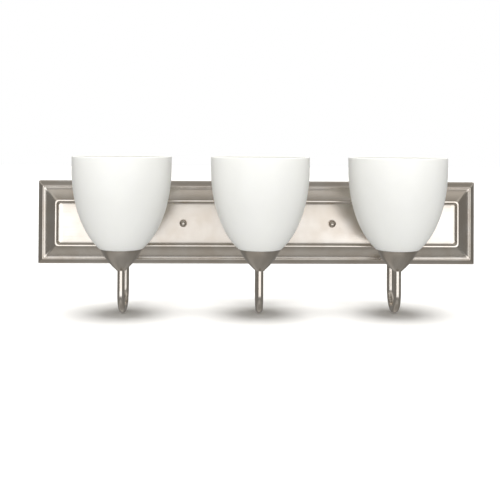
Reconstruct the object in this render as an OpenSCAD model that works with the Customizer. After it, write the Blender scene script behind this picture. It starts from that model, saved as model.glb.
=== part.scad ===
// Three-light vanity bar: a moulded wall plate, three bent arms with cone cups,
// and three opal bell shades that open upwards.
//
// Frame: the wall is the plane y = 0 and the room is on the -Y side. X runs along the
// bar, Z is up, and the origin is the middle of the mounting strap, on the wall.

/* [Backplate] */
// Width of the backplate
plate_w = 610; // [560:1:760]
// Height of the backplate
plate_h = 115.4; // [104:0.2:150]
// Thickness of its sheet
sheet_t = 0.9; // [0.6:0.1:1.2]
// Height of the straight wall round the edge
edge_wall = 5.5; // [4:0.5:10]
// Width of the rounded outer moulding
ovolo_w = 8.7; // [6:0.1:11]
// Rise of the rounded outer moulding
ovolo_h = 8.6; // [7:0.1:10]
// How far that moulding swells past a straight slope
ovolo_swell = 1.1; // [0.6:0.1:1.6]
// Depth of the flat band below that moulding's crest
quirk_h = 1; // [0.6:0.1:1.1]
// Width of the flat band
fillet_w = 3; // [2:0.1:5]
// Width of the hollow moulding
cove_w = 13.6; // [10:0.1:16]
// Rise of the hollow moulding
cove_h = 7.3; // [6:0.1:9]
// How far that moulding dips below a straight slope
cove_dip = 0.6; // [0.4:0.1:1.2]
// Width of the bead round the panel
bead_w = 2.9; // [2.4:0.1:4]
// Height of the bead
bead_h = 1.2; // [1:0.1:1.6]
// Width of the slope between the bead and the panel
bevel_w = 3.7; // [3:0.1:5]
// Depth of the panel below the foot of the bead
panel_drop = 1; // [0.6:0.1:1.6]

/* [Layout] */
// Distance between neighbouring lights
light_pitch = 178; // [150:1:240]
// Distance from the wall to the axis of a shade
reach = 105; // [102:1:140]
// Height of the arm's seat on the plate, below the centre line
seat_drop = 10; // [8:0.5:12]
// Distance between the two mounting studs
stud_pitch = 206; // [180:1:230]

/* [Arm] */
// Outer diameter of the arm's tube
tube_d = 9.5; // [9:0.1:11]
// Wall of the tube
tube_wall = 0.9; // [0.8:0.1:1.2]
// Radius of both bends, on the tube's centre line
bend_r = 25; // [20:0.5:26]
// Lowest point of the arm, below the centre line
arm_drop = 111; // [100:1:130]
// Width of the flange of the collar on the plate
collar_flange = 5.75; // [4.5:0.25:7]
// Length of the collar
collar_l = 6.5; // [5:0.5:8]

/* [Cup] */
// Width of the cup's rim outside the hole in the shade
cup_seat = 5.9; // [5:0.1:8]
// Height of the cup
cup_h = 27.8; // [25:0.2:34]
// Depth of the cup's rim below the centre line
cup_rim_drop = 24.8; // [20:0.2:28]
// Wall of the cup's tip, round the arm
cup_tip_wall = 1.75; // [1.5:0.05:2.5]
// How far the side of the cup swells past a straight cone
cup_swell = 1.7; // [1:0.1:2.2]
// Wall of the cup
cup_wall = 1.2; // [0.8:0.1:1.4]
// Thickness of the solid tip
cup_floor = 6.1; // [5:0.1:7]
// Width of the lip that the shade rests on
cup_lip = 3; // [2:0.1:4]

/* [Shade] */
// Outer diameter of the shade at its rim
shade_d = 127.2; // [118:0.2:140]
// Height of the shade
shade_h = 118.8; // [112:0.2:130]
// Distance from the rim down to where the side starts to draw in
shade_straight = 16; // [8:1:24]
// How far the shade's flat foot stands out past the cup
foot_over = 0.4; // [0:0.1:1.5]
// Wall of the glass
glass_t = 3.5; // [3:0.1:4]
// Gap between the hole in the shade's foot and the lampholder
shade_hole_gap = 1; // [0.5:0.1:1.5]

/* [Lampholder] */
// Wall of the lampholder, out to the crest of its thread
holder_wall = 5.4; // [4.4:0.1:6.6]
// How far its lower skirt stands back from the crest of the thread
skirt_step = 1.5; // [1:0.1:2.5]
// Height of the lampholder
holder_h = 32; // [30:0.5:34]
// Gap between the lamp's cap and the screw shell
cap_gap = 0.3; // [0.3:0.05:0.5]
// Thread pitch of the lamp's cap
lamp_thread = 3.63; // [3.6:0.01:3.7]
// Width of the ring's flange that presses on the glass
ring_bearing = 3.5; // [3:0.1:4]
// Height of the shade ring
ring_h = 6; // [5:0.5:8]

/* [Lamp] */
// Widest diameter of the lamp
lamp_d = 60; // [55:1:62]
// Length of the lamp
lamp_l = 108; // [100:1:110]
// Outer diameter of the lamp's screw cap
lamp_cap_d = 26.2; // [25.8:0.1:26.6]

/* [Wall fixings] */
// Distance from a stud to the end of the mounting strap
strap_end = 15; // [10:0.5:25]
// Width of the mounting strap
strap_w = 16; // [14:0.5:16]
// Thickness of the mounting strap
strap_t = 1.6; // [1.2:0.1:2.5]
// Distance between the wall-box slots
box_pitch = 88.9; // [84:0.1:90]
// Length of a wall-box slot
slot_l = 12; // [8:0.5:13]
// Width of a wall-box slot
slot_w = 4.6; // [4:0.1:5]
// Diameter of the mounting studs
stud_d = 4; // [3.5:0.1:5]
// Diameter of the cap nuts' flange
cap_nut_d = 10.8; // [9.6:0.1:14]

/* [Leads] */
// Diameter of the insulated leads
lead_d = 2; // [1.6:0.1:2.2]

/* [Hidden] */
SIDES = ["left", "middle", "right"];
LIGHT_PARTS = [
    "arm_tube", "arm_collar", "socket_cup", "holder_bracket", "lampholder", "screw_shell",
    "centre_contact", "shade", "shade_ring", "lamp_bulb", "lamp_cap", "lamp_tip",
    "black_lead", "white_lead"
];
SHARED_PARTS = [
    "backplate", "mounting_strap", "mounting_studs", "stud_nuts", "cap_nuts",
    "arm_washers", "arm_nuts", "cup_nuts", "holder_screws", "ground_screw",
    "ground_lead", "wire_connectors"
];

$fn = 64;
fit_gap = 0.1;                      // between pieces that are screwed or pushed together
cut = 1;                            // how far a cutter runs past what it cuts

satin_nickel = "#a29b90";
zinc_steel = "#b9bcbe";
opal = "#f4f4f1";
brass = "#c9a659";

// backplate levels, as distances from the wall
tight_bend = 0.3;                   // inside radius of the sheet's tightest bend
crest_start = 118;                  // direction in which the outer moulding meets its crest
fillet_level = edge_wall + ovolo_h - quirk_h;
bead_level = fillet_level + cove_h;
panel_level = bead_level - panel_drop;
plate_depth = bead_level + bead_h;

// arm
tube_r = tube_d / 2;
bore_r = tube_r - tube_wall;
leg_gap = 2 * bend_r;
back_leg = reach - leg_gap;         // distance of the back leg from the wall
bottom_z = -arm_drop + tube_r + bend_r;
seat_z = -seat_drop;
elbow_y = back_leg - bend_r;        // where the upper bend ends
nut_af = tube_d + 4.5;
nut_h = 3;
washer_t = 0.7;
arm_end = panel_level - sheet_t - washer_t - nut_h - 0.5;

// cup and what stands in it
cup_rim_z = -cup_rim_drop;
cup_tip_z = cup_rim_z - cup_h;
cup_floor_z = cup_tip_z + cup_floor;
bracket_t = 1.2;
bracket_w = 7;
bracket_r = nut_af / 2 + 0.8 + bracket_t;
cup_nut_z = cup_floor_z + bracket_t;
tube_top_z = cup_nut_z + nut_h + 0.8;
holder_z = tube_top_z + 7.5;        // underside of the lampholder
holder_floor = 6;
screw_x = bracket_r - 4;            // the two screws that hold the lampholder down
screw_r = 1.5;

// lampholder, from the lamp's cap outwards
thread_wave = 0.35;
shell_wall = 0.4;
cap_r = lamp_cap_d / 2;
shell_r = cap_r + cap_gap;
cavity_r = shell_r + 2 * thread_wave + shell_wall + fit_gap;
holder_r = cavity_r + holder_wall;
holder_top_z = holder_z + holder_h;
hole_r = holder_r + shade_hole_gap;
ring_r = hole_r + ring_bearing;
cup_r = hole_r + cup_seat;
cup_tip_r = tube_r + cup_tip_wall;

// shade
shade_r = shade_d / 2;
foot_r = cup_r + foot_over;
foot_z = cup_rim_z;
rim_z = foot_z + shade_h;
bell_z = rim_z - shade_straight;    // centre of the bell's ellipse
bell_drop = (bell_z - foot_z) / sqrt(1 - pow(foot_r / shade_r, 2));

// lamp
contact_t = 0.5;
contact_rise = 2.4;
contact_z = holder_z + holder_floor;
lamp_gap = 0.3;                     // keeps the lamp's own body off what it rests on
lamp_z = contact_z + contact_rise + lamp_gap;
shell_z = lamp_z + 1.5;
cap_bottom_z = lamp_z + 5;
cap_top_z = lamp_z + 25.5;
cap_wall = 0.4;
bulb_r = lamp_d / 2;
bulb_z = lamp_z + lamp_l - bulb_r;

// wall fixings
stud_r = stud_d / 2;
stud_x = stud_pitch / 2;
stud_nut_af = 7;
stud_nut_h = 3.2;
cap_flange_h = 1;
cap_barrel_h = 2.2;
cap_r_dome = cap_nut_d / 2 - 0.5;
stud_end = panel_level + cap_flange_h + cap_barrel_h + 1.6;
strap_l = stud_pitch + 2 * strap_end;
ground_x = (box_pitch / 2 + slot_l / 2 + stud_x) / 2;   // midway between a slot and a stud

// leads and their connectors; [x, distance from the wall] of each connector
lead_r = lead_d / 2;
lead_side = 1.15;                   // offset of each lead from the tube's centre line
connector_z = strap_w / 2 + 2;
connector_l = 20;
connector_r = 6;
black_connector = [22, 9.5];
white_connector = [-22, 6.5];
ground_connector = [ground_x - 12, 7];
lead_end_z = connector_z + 8;
black_lane = [8, -14];              // [distance from the wall, z] of the lead's run
white_lane = [5, -18];
lead_spread = 2.2;                  // sideways offset of a lead in its connector
middle_behind = 3.5;                // the middle light's leads lie this much nearer the room

// ---------------------------------------------------------------- helpers

function light_x(i) = (i - 1) * light_pitch;

function ellipse_arc(centre, rx, ry, a0, a1, steps) = [
    for (i = [0:steps]) let (a = a0 + (a1 - a0) * i / steps)
    [centre[0] + rx * cos(a), centre[1] + ry * sin(a)]
];

// arc from p to q that swells out on the right of that direction
function swell_arc(p, q, rise, steps) =
    let (
        chord = norm(q - p),
        radius = (chord * chord / 4 + rise * rise) / (2 * rise),
        along = (q - p) / chord,
        right = [along[1], -along[0]],
        half = asin(chord / 2 / radius),
        centre = (p + q) / 2 - right * (radius - rise)
    )
    [
        for (i = [0:steps]) let (a = -half + 2 * half * i / steps)
        centre + radius * (right * cos(a) + along * sin(a))
    ];

// the same line moved sideways, to the right of its direction
function beside(line, distance) = [
    for (i = [0:len(line) - 1])
    let (
        before = line[max(i - 1, 0)],
        after = line[min(i + 1, len(line) - 1)],
        along = (after - before) / norm(after - before)
    )
    line[i] + distance * [along[1], -along[0]]
];

function reversed(list) = [for (i = [len(list) - 1:-1:0]) list[i]];

// ridges of a rolled thread along z, as radii
function thread_line(radius, z0, z1, wave, steps) = [
    for (i = [0:steps])
    let (z = z0 + (z1 - z0) * i / steps)
    [radius + wave * (1 - cos(360 * (z - z0) / lamp_thread)), z]
];

// a line of straight stretches with its corners rounded
function rounded(route, r, steps = 4) = [
    for (i = [0:len(route) - 1])
    let (last = len(route) - 1)
    each i == 0 || i == last ? [route[i]] :
        let (
            back = (route[i - 1] - route[i]) / norm(route[i - 1] - route[i]),
            ahead = (route[i + 1] - route[i]) / norm(route[i + 1] - route[i]),
            a = route[i] + back * min(r, norm(route[i - 1] - route[i]) * 0.45),
            b = route[i] + ahead * min(r, norm(route[i + 1] - route[i]) * 0.45)
        )
        [
            for (k = [0:steps]) let (t = k / steps)
            (1 - t) * (1 - t) * a + 2 * t * (1 - t) * route[i] + t * t * b
        ]
];

function heading(path, i) =
    let (d = path[min(i + 1, len(path) - 1)] - path[max(i - 1, 0)]) d / norm(d);

function across(v, along) = let (w = v - (v * along) * along) w / norm(w);

// side vectors that turn as little as possible from one point to the next
function side_vectors(path, first) = [
    for (i = 0, v = across(first, heading(path, 0)); i < len(path);
         i = i + 1, v = across(v, heading(path, min(i, len(path) - 1)))) v
];

// round cord along a path of points
module sweep_cord(path, radius, first, sides = 8) {
    side = side_vectors(path, first);
    rings = [
        for (i = [0:len(path) - 1])
        let (up = cross(heading(path, i), side[i]))
        for (k = [0:sides - 1])
        let (a = 360 * k / sides)
        path[i] + radius * (cos(a) * side[i] + sin(a) * up)
    ];
    count = len(path);
    walls = [
        for (i = [0:count - 2]) for (k = [0:sides - 1])
        let (n = (k + 1) % sides)
        [i * sides + k, (i + 1) * sides + k, (i + 1) * sides + n, i * sides + n]
    ];
    start_cap = [for (k = [0:sides - 1]) k];
    end_cap = [for (k = [sides - 1:-1:0]) (count - 1) * sides + k];
    polyhedron(rings, concat(walls, [start_cap, end_cap]), convexity = 10);
}

// turns a shape drawn along +Z so that it points away from the wall, foot at a distance from it
module from_wall(x, distance, z) {
    translate([x, -distance, z]) rotate([90, 0, 0]) children();
}

// places a shape drawn round the Z axis on the axis of light i
module at_light(i) {
    translate([light_x(i), -reach, 0]) children();
}

module hex_nut(af, height, hole_r) {
    difference() {
        rotate([0, 0, 30]) cylinder(r = af / 2 / cos(30), h = height, $fn = 6);
        translate([0, 0, -cut]) cylinder(r = hole_r, h = height + 2 * cut);
    }
}

// ---------------------------------------------------------------- backplate

// the moulding's face: [distance in from the edge, distance from the wall]
function plate_face() =
    let (
        crest_r = sheet_t + tight_bend,
        crest = [ovolo_w - crest_r, edge_wall + ovolo_h - crest_r],
        crest_end = asin(1 - quirk_h / crest_r),
        crest_arc = ellipse_arc(crest, crest_r, crest_r, crest_start, crest_end, 6),
        fillet_x = ovolo_w + fillet_w,
        bead_x = fillet_x + cove_w,
        bevel_x = bead_x + bead_w
    )
    concat(
        [[0, 0]],
        reversed(swell_arc(crest_arc[0], [0, edge_wall], ovolo_swell, 8)),
        [for (i = [1:6]) crest_arc[i]],
        swell_arc([fillet_x, fillet_level], [bead_x, bead_level], cove_dip, 8),
        ellipse_arc([bead_x + bead_w / 2, bead_level], bead_w / 2, bead_h, 150, 30, 4),
        ellipse_arc([bevel_x + bevel_w, bead_level], bevel_w, panel_drop, 180, 270, 4),
        [[plate_h / 2, panel_level]]
    );

// one side of the plate, from its edge to the middle, with its ends mitred at 45 degrees
module plate_side(length, half_span) {
    face = plate_face();
    middle = plate_h / 2;
    inner_z = half_span - middle;
    inner_x = length / 2 - middle;
    mitre_foot = inner_x > 0 ? [[inner_x, inner_z], [-inner_x, inner_z]] : [[0, inner_z]];
    intersection() {
        translate([0, 0, half_span]) rotate([0, 90, 180])
            linear_extrude(height = length + 2 * cut, center = true)
                polygon(concat(face, reversed(beside(face, sheet_t))));
        translate([0, cut, 0]) rotate([90, 0, 0])
            linear_extrude(height = plate_depth + 2 * cut)
                polygon(concat(
                    [[-length / 2 - cut, half_span + cut], [length / 2 + cut, half_span + cut]],
                    mitre_foot
                ));
    }
}

module backplate() {
    color(satin_nickel)
    difference() {
        union() {
            plate_side(plate_w, plate_h / 2);
            rotate([0, 180, 0]) plate_side(plate_w, plate_h / 2);
            rotate([0, 90, 0]) plate_side(plate_h, plate_w / 2);
            rotate([0, -90, 0]) plate_side(plate_h, plate_w / 2);
        }
        for (i = [0:2])
            from_wall(light_x(i), panel_level - sheet_t - cut, seat_z)
                cylinder(r = tube_r + fit_gap, h = sheet_t + 2 * cut);
        for (x = [-stud_x, stud_x])
            from_wall(x, panel_level - sheet_t - cut, 0)
                cylinder(r = stud_r + 0.5, h = sheet_t + 2 * cut);
    }
}

// ---------------------------------------------------------------- wall fixings

module strap_slot(x) {
    run = (slot_l - slot_w) / 2;
    from_wall(x, -cut, 0) {
        for (side = [-run, run])
            translate([side, 0, 0]) cylinder(d = slot_w, h = strap_t + 2 * cut);
        translate([-run, -slot_w / 2, 0]) cube([2 * run, slot_w, strap_t + 2 * cut]);
    }
}

module mounting_strap() {
    end_x = (strap_l - strap_w) / 2;
    color(zinc_steel)
    difference() {
        union() {
            for (x = [-end_x, end_x])
                from_wall(x, 0, 0) cylinder(d = strap_w, h = strap_t);
            translate([-end_x, -strap_t, -strap_w / 2]) cube([2 * end_x, strap_t, strap_w]);
        }
        strap_slot(-box_pitch / 2);
        strap_slot(box_pitch / 2);
        for (x = [-stud_x, stud_x, ground_x])
            from_wall(x, -cut, 0) cylinder(r = stud_r + fit_gap / 2, h = strap_t + 2 * cut);
        from_wall(0, -cut, 0) cylinder(r = 5.2, h = strap_t + 2 * cut);
    }
}

module mounting_studs() {
    color(zinc_steel)
    for (x = [-stud_x, stud_x])
        from_wall(x, 0.2, 0) {
            cylinder(r = stud_r, h = stud_end - 0.6);
            translate([0, 0, stud_end - 0.6]) cylinder(r1 = stud_r, r2 = stud_r - 0.4, h = 0.4);
        }
}

module stud_nuts() {
    color(zinc_steel)
    for (x = [-stud_x, stud_x])
        from_wall(x, strap_t, 0) hex_nut(stud_nut_af, stud_nut_h, stud_r + fit_gap / 2);
}

module cap_nuts() {
    color(satin_nickel)
    for (x = [-stud_x, stud_x])
        from_wall(x, panel_level, 0)
            difference() {
                union() {
                    cylinder(d = cap_nut_d, h = cap_flange_h);
                    cylinder(r = cap_r_dome, h = cap_flange_h + cap_barrel_h);
                    translate([0, 0, cap_flange_h + cap_barrel_h])
                        intersection() {
                            sphere(r = cap_r_dome);
                            cylinder(r = cap_r_dome + cut, h = cap_r_dome + cut);
                        }
                }
                translate([0, 0, -cut])
                    cylinder(r = stud_r + fit_gap / 2, h = stud_end - panel_level + 0.3 + cut);
            }
}

module ground_screw() {
    head_h = 2.4;
    color("#3f7f4a")
    from_wall(ground_x, 0.2, 0)
        difference() {
            union() {
                cylinder(r = stud_r, h = strap_t + lead_d);
                translate([0, 0, strap_t + 1.7]) cylinder(r = stud_r + 2.2, h = head_h);
            }
            translate([0, 0, strap_t + 1.7 + head_h])
                cube([2 * stud_r + 2, 0.9, 1.8], center = true);
        }
}

// ---------------------------------------------------------------- arm

// quarter or half bend of a round bar, in the plane square to X
module bend(y, z, radius, start, turn) {
    translate([0, y, z]) rotate([90, 0, 90]) rotate([0, 0, start])
        rotate_extrude(angle = turn) translate([bend_r, 0]) circle(r = radius);
}

// straight bar of the arm: two legs, the seat's stub and both bends
module arm_bar(radius, extra) {
    translate([0, -reach, bottom_z]) cylinder(r = radius, h = tube_top_z - bottom_z + extra);
    bend(-reach + bend_r, bottom_z, radius, 180, 180);
    translate([0, -back_leg, bottom_z]) cylinder(r = radius, h = seat_z - bend_r - bottom_z);
    bend(-elbow_y, seat_z - bend_r, radius, 90, 90);
    from_wall(0, arm_end - extra, seat_z) cylinder(r = radius, h = elbow_y - arm_end + extra);
}

module arm_tube(i) {
    color(satin_nickel)
    translate([light_x(i), 0, 0])
        difference() {
            arm_bar(tube_r, 0);
            arm_bar(bore_r, cut);
        }
}

module arm_collar(i) {
    color(satin_nickel)
    from_wall(light_x(i), panel_level, seat_z)
        difference() {
            union() {
                cylinder(r = tube_r + collar_flange, h = 1.6);
                translate([0, 0, 1.6])
                    cylinder(r1 = tube_r + collar_flange - 1, r2 = tube_r + 2, h = collar_l - 2.6);
                cylinder(r = tube_r + 2, h = collar_l);
            }
            translate([0, 0, -cut]) cylinder(r = tube_r + fit_gap, h = collar_l + 2 * cut);
        }
}

module arm_washers() {
    teeth = 12;
    color(zinc_steel)
    for (i = [0:2])
        from_wall(light_x(i), panel_level - sheet_t - washer_t, seat_z)
            difference() {
                cylinder(r = tube_r + 3, h = washer_t);
                translate([0, 0, -cut]) cylinder(r = tube_r + fit_gap, h = washer_t + 2 * cut);
                for (k = [0:teeth - 1])
                    rotate([0, 0, 360 * k / teeth])
                        translate([tube_r + 1.8, -0.5, -cut]) cube([3, 1, washer_t + 2 * cut]);
            }
}

module arm_nuts() {
    color(zinc_steel)
    for (i = [0:2])
        from_wall(light_x(i), panel_level - sheet_t - washer_t - nut_h, seat_z)
            hex_nut(nut_af, nut_h, tube_r + fit_gap / 2);
}

// ---------------------------------------------------------------- cup and lampholder

module socket_cup(i) {
    lip_r = 1;
    foot = [cup_tip_r, cup_tip_z + lip_r];
    rim = [cup_r, cup_rim_z];
    side = swell_arc(foot, rim, cup_swell, 16);
    inner = beside(side, -cup_wall);
    hollow = [for (p = inner) if (p[1] > cup_floor_z && p[1] < cup_rim_z - cup_wall) p];
    // the inside of the wall, carried on to the floor and up to the lip
    low = hollow[0];
    high = hollow[len(hollow) - 1];
    slope = (hollow[1][0] - low[0]) / (hollow[1][1] - low[1]);
    floor_r = low[0] - slope * (low[1] - cup_floor_z);
    color(satin_nickel)
    at_light(i)
        difference() {
            rotate_extrude()
                polygon(concat(
                    [[0, cup_tip_z]],
                    ellipse_arc([cup_tip_r - lip_r, cup_tip_z + lip_r], lip_r, lip_r, -90, 0, 4),
                    side,
                    [[cup_r - cup_lip, cup_rim_z]],
                    [[cup_r - cup_lip, cup_rim_z - cup_wall]],
                    [[high[0] + 0.3, cup_rim_z - cup_wall]],
                    reversed(hollow),
                    [[floor_r, cup_floor_z]],
                    [[0, cup_floor_z]]
                ));
            translate([0, 0, cup_tip_z - cut])
                cylinder(r = tube_r + fit_gap, h = cup_floor + 2 * cut);
        }
}

module cup_nuts() {
    color(zinc_steel)
    for (i = [0:2])
        at_light(i) translate([0, 0, cup_nut_z]) hex_nut(nut_af, nut_h, tube_r + fit_gap / 2);
}

module holder_bracket(i) {
    rise = holder_z - cup_floor_z;
    tab_l = bracket_r - 2.8;
    color(zinc_steel)
    at_light(i)
        translate([0, 0, cup_floor_z])
            difference() {
                union() {
                    cylinder(r = bracket_r, h = bracket_t);
                    for (turn = [0, 180])
                        rotate([0, 0, turn]) {
                            translate([bracket_r - bracket_t, -bracket_w / 2, 0])
                                cube([bracket_t, bracket_w, rise]);
                            translate([bracket_r - tab_l, -bracket_w / 2, rise - bracket_t])
                                cube([tab_l, bracket_w, bracket_t]);
                        }
                }
                translate([0, 0, -cut]) cylinder(r = tube_r + fit_gap, h = bracket_t + 2 * cut);
                for (x = [-screw_x, screw_x])
                    translate([x, 0, rise - bracket_t - cut])
                        cylinder(r = screw_r + fit_gap, h = bracket_t + 2 * cut);
            }
}

module holder_screws() {
    head_h = 1.6;
    color(zinc_steel)
    for (i = [0:2])
        at_light(i)
            for (x = [-screw_x, screw_x])
                translate([x, 0, holder_z - bracket_t]) {
                    translate([0, 0, -head_h]) cylinder(r = screw_r + 1.1, h = head_h);
                    cylinder(r = screw_r, h = bracket_t + 4);
                }
}

module lampholder(i) {
    rings = 6;
    ring_pitch = 3;
    color("#e9e5dc")
    at_light(i)
        difference() {
            union() {
                translate([0, 0, holder_z]) cylinder(r = holder_r - skirt_step, h = holder_h);
                translate([0, 0, foot_z - 1]) cylinder(r = holder_r - 0.6, h = holder_top_z - foot_z);
                for (k = [0:rings - 1])
                    translate([0, 0, foot_z + 1 + k * ring_pitch])
                        cylinder(r = holder_r, h = ring_pitch / 2);
            }
            translate([0, 0, contact_z]) cylinder(r = cavity_r, h = holder_h);
            translate([0, 0, holder_top_z - 2]) cylinder(r1 = cavity_r, r2 = cavity_r + 2, h = 2 + cut);
            for (x = [-screw_x, screw_x])
                translate([x, 0, holder_z - cut]) cylinder(r = screw_r + fit_gap / 2, h = cut + 4.4);
            for (x = [-lead_side, lead_side])
                translate([x, 0, holder_z - cut]) cylinder(r = lead_r + fit_gap, h = cut + 3);
        }
}

module screw_shell(i) {
    top = holder_top_z - 2.5;
    inside = thread_line(shell_r, shell_z, top, thread_wave, 48);
    outside = [for (p = inside) p + [shell_wall, 0]];
    color(brass)
    at_light(i) rotate_extrude() polygon(concat(inside, reversed(outside)));
}

module centre_contact(i) {
    width = 6;
    tip = contact_rise;
    color(brass)
    at_light(i)
        translate([0, width / 2, contact_z]) rotate([90, 0, 0])
            linear_extrude(height = width)
                polygon([
                    [11, 0], [3.5, 0], [-2, tip - contact_t], [-5, tip - contact_t - 0.6],
                    [-5, tip - 0.6], [-2, tip], [3, tip], [4, contact_t], [11, contact_t]
                ]);
}

module shade(i) {
    lip = 1;
    turn = acos(foot_r / shade_r);
    outside = ellipse_arc([0, bell_z], shade_r, bell_drop, -turn, 0, 28);
    inner_drop = bell_drop - glass_t;
    inner_foot = foot_z + glass_t;
    inner_turn = asin((bell_z - inner_foot) / inner_drop);
    inside = ellipse_arc([0, bell_z], shade_r - glass_t, inner_drop, 0, -inner_turn, 28);
    color(opal)
    at_light(i)
        difference() {
            rotate_extrude()
                polygon(concat(
                    [[0, foot_z]],
                    outside,
                    ellipse_arc([shade_r - lip, rim_z - lip], lip, lip, 0, 90, 4),
                    ellipse_arc([shade_r - glass_t + lip, rim_z - lip], lip, lip, 90, 180, 4),
                    inside,
                    [[0, inner_foot]]
                ));
            translate([0, 0, foot_z - cut]) cylinder(r = hole_r, h = glass_t + 2 * cut);
        }
}

module shade_ring(i) {
    grips = 16;
    flange_h = 1.6;
    color("#5a5753")
    at_light(i)
        translate([0, 0, foot_z + glass_t])
            difference() {
                union() {
                    cylinder(r = ring_r, h = flange_h);
                    cylinder(r = ring_r - 1.2, h = ring_h);
                }
                translate([0, 0, -cut]) cylinder(r = holder_r + fit_gap, h = ring_h + 2 * cut);
                for (k = [0:grips - 1])
                    rotate([0, 0, 360 * k / grips])
                        translate([ring_r - 1, 0, flange_h]) cylinder(r = 1, h = ring_h);
            }
}

// ---------------------------------------------------------------- lamp

module lamp_bulb(i) {
    wall = 0.9;
    neck_r = cap_r - 2 * cap_wall - 0.2;
    neck_z = cap_top_z - 6;
    flare_z = cap_top_z + 1;
    // the globe's side leaves the sphere at this angle below its equator
    leave = 42;
    shoulder = [bulb_r * cos(leave), bulb_z - bulb_r * sin(leave)];
    neck = [for (k = [0:8]) let (t = k / 8, ease = t * t * (1.6 - 0.6 * t))
        [neck_r + 1.4 + (shoulder[0] - neck_r - 1.4) * ease, flare_z + 2 + (shoulder[1] - flare_z - 2) * t]];
    outside = concat(
        [[neck_r, neck_z], [neck_r, flare_z]],
        neck,
        ellipse_arc([0, bulb_z], bulb_r, bulb_r, -leave + 6, 84, 20)
    );
    inside = beside(outside, -wall);
    color("#fbfaf6")
    at_light(i)
        rotate_extrude()
            polygon(concat(
                outside,
                [[0, bulb_z + bulb_r]],
                [[0, bulb_z + bulb_r - wall]],
                reversed(inside)
            ));
}

module lamp_cap(i) {
    threads_top = cap_top_z - 3.5;
    outside = concat(
        [[cap_r - 2 * cap_wall, cap_bottom_z - 0.6]],
        [for (p = thread_line(cap_r - 2 * thread_wave, cap_bottom_z, threads_top, thread_wave, 40)) p],
        [[cap_r - 0.1, cap_top_z - 2.5]],
        [[cap_r - 0.1, cap_top_z]]
    );
    inner_r = cap_r - 2 * cap_wall - 0.15;
    color("#c3c3c0")
    at_light(i)
        rotate_extrude()
            polygon(concat(
                outside,
                [[inner_r, cap_top_z]],
                [[inner_r, cap_top_z - 7]],
                [[inner_r - 0.8, cap_top_z - 7.6]],
                [[inner_r - 0.8, cap_bottom_z - 0.6]]
            ));
}

module lamp_tip(i) {
    color("#2e2b2a")
    at_light(i)
        translate([0, 0, lamp_z]) {
            cylinder(r1 = 3.6, r2 = 4.6, h = 1);
            translate([0, 0, 1]) cylinder(r1 = 4.6, r2 = cap_r - 2.2, h = 3.4);
        }
}

// ---------------------------------------------------------------- leads

// points of a bend, in the plane square to X
function bend_points(x, y, z, a0, a1, steps) = [
    for (i = [0:steps]) let (a = a0 + (a1 - a0) * i / steps)
    [x, y + bend_r * cos(a), z + bend_r * sin(a)]
];

// from the lampholder through the arm to the tube's end behind the plate
function lead_in_arm(x) = concat(
    [[x, -reach, holder_z + 3]],
    bend_points(x, -reach + bend_r, bottom_z, 180, 360, 12),
    bend_points(x, -elbow_y, seat_z - bend_r, 180, 90, 6)
);

// from the tube's end along the lane and up into the connector
function lead_behind(i, x, lane, connector) =
    let (
        out = i == 1 ? lane[0] + middle_behind : lane[0],
        low = i == 1 ? seat_z : lane[1],
        up_x = connector[0] + (i - 1) * lead_spread,
        lead_in = 8 * sign(up_x - x)
    )
    i == 1
    ? [[x, -out, seat_z], [up_x, -out, low], [up_x, -out, lead_end_z]]
    : [[x, -out, seat_z], [x + lead_in, -out, low], [up_x, -out, low], [up_x, -out, lead_end_z]];

module lead(i, offset, lane, connector) {
    x = light_x(i) + offset;
    inside = lead_in_arm(x);
    leaving = inside[len(inside) - 1];
    behind = rounded(concat([leaving], lead_behind(i, x, lane, connector)), 3);
    tail = [for (k = [1:len(behind) - 1]) behind[k]];
    sweep_cord(concat(inside, tail), lead_r, [1, 0, 0]);
}

// the black lead is on the side that it turns to behind the plate
function black_offset(i) = i == 2 ? -lead_side : lead_side;

module black_lead(i) {
    color("#2b2a29") lead(i, black_offset(i), black_lane, black_connector);
}

module white_lead(i) {
    color("#ecebe6") lead(i, -black_offset(i), white_lane, white_connector);
}

module ground_lead() {
    eye_r = stud_r + lead_r * 0.65 + 0.2;
    eye_y = strap_t + 0.2 + lead_r * 0.65;
    eye = [for (k = [0:10]) let (a = 60 - 27 * k) [ground_x + eye_r * cos(a), -eye_y, eye_r * sin(a)]];
    c = ground_connector;
    route = rounded([
        eye[10], [ground_x - 6, -eye_y - 1, 1], [c[0] + 3, -c[1], -8], [c[0], -c[1], -4],
        [c[0], -c[1], lead_end_z]
    ], 3);
    tail = [for (k = [1:len(route) - 1]) route[k]];
    color("#4c8a55") sweep_cord(concat(eye, tail), lead_r * 0.65, [0, 1, 0]);
}

module wire_connectors() {
    ribs = 10;
    color("#b9732f")
    for (c = [black_connector, white_connector, ground_connector])
        translate([c[0], -c[1], connector_z])
            difference() {
                union() {
                    cylinder(r1 = connector_r - 0.4, r2 = connector_r - 2, h = connector_l);
                    cylinder(r = connector_r, h = 4);
                    for (k = [0:ribs - 1])
                        rotate([0, 0, 360 * k / ribs])
                            translate([connector_r - 1.8, -0.5, 3]) cube([1.2, 1, connector_l - 8]);
                }
                translate([0, 0, -cut]) cylinder(r = connector_r - 1.4, h = cut + 9);
            }
}

// ---------------------------------------------------------------- assembly

backplate();
mounting_strap();
mounting_studs();
stud_nuts();
cap_nuts();
arm_washers();
arm_nuts();
cup_nuts();
holder_screws();
ground_screw();
ground_lead();
wire_connectors();
for (i = [0:2]) {
    arm_tube(i);
    arm_collar(i);
    socket_cup(i);
    holder_bracket(i);
    lampholder(i);
    screw_shell(i);
    centre_contact(i);
    shade(i);
    shade_ring(i);
    lamp_bulb(i);
    lamp_cap(i);
    lamp_tip(i);
    black_lead(i);
    white_lead(i);
}
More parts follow.
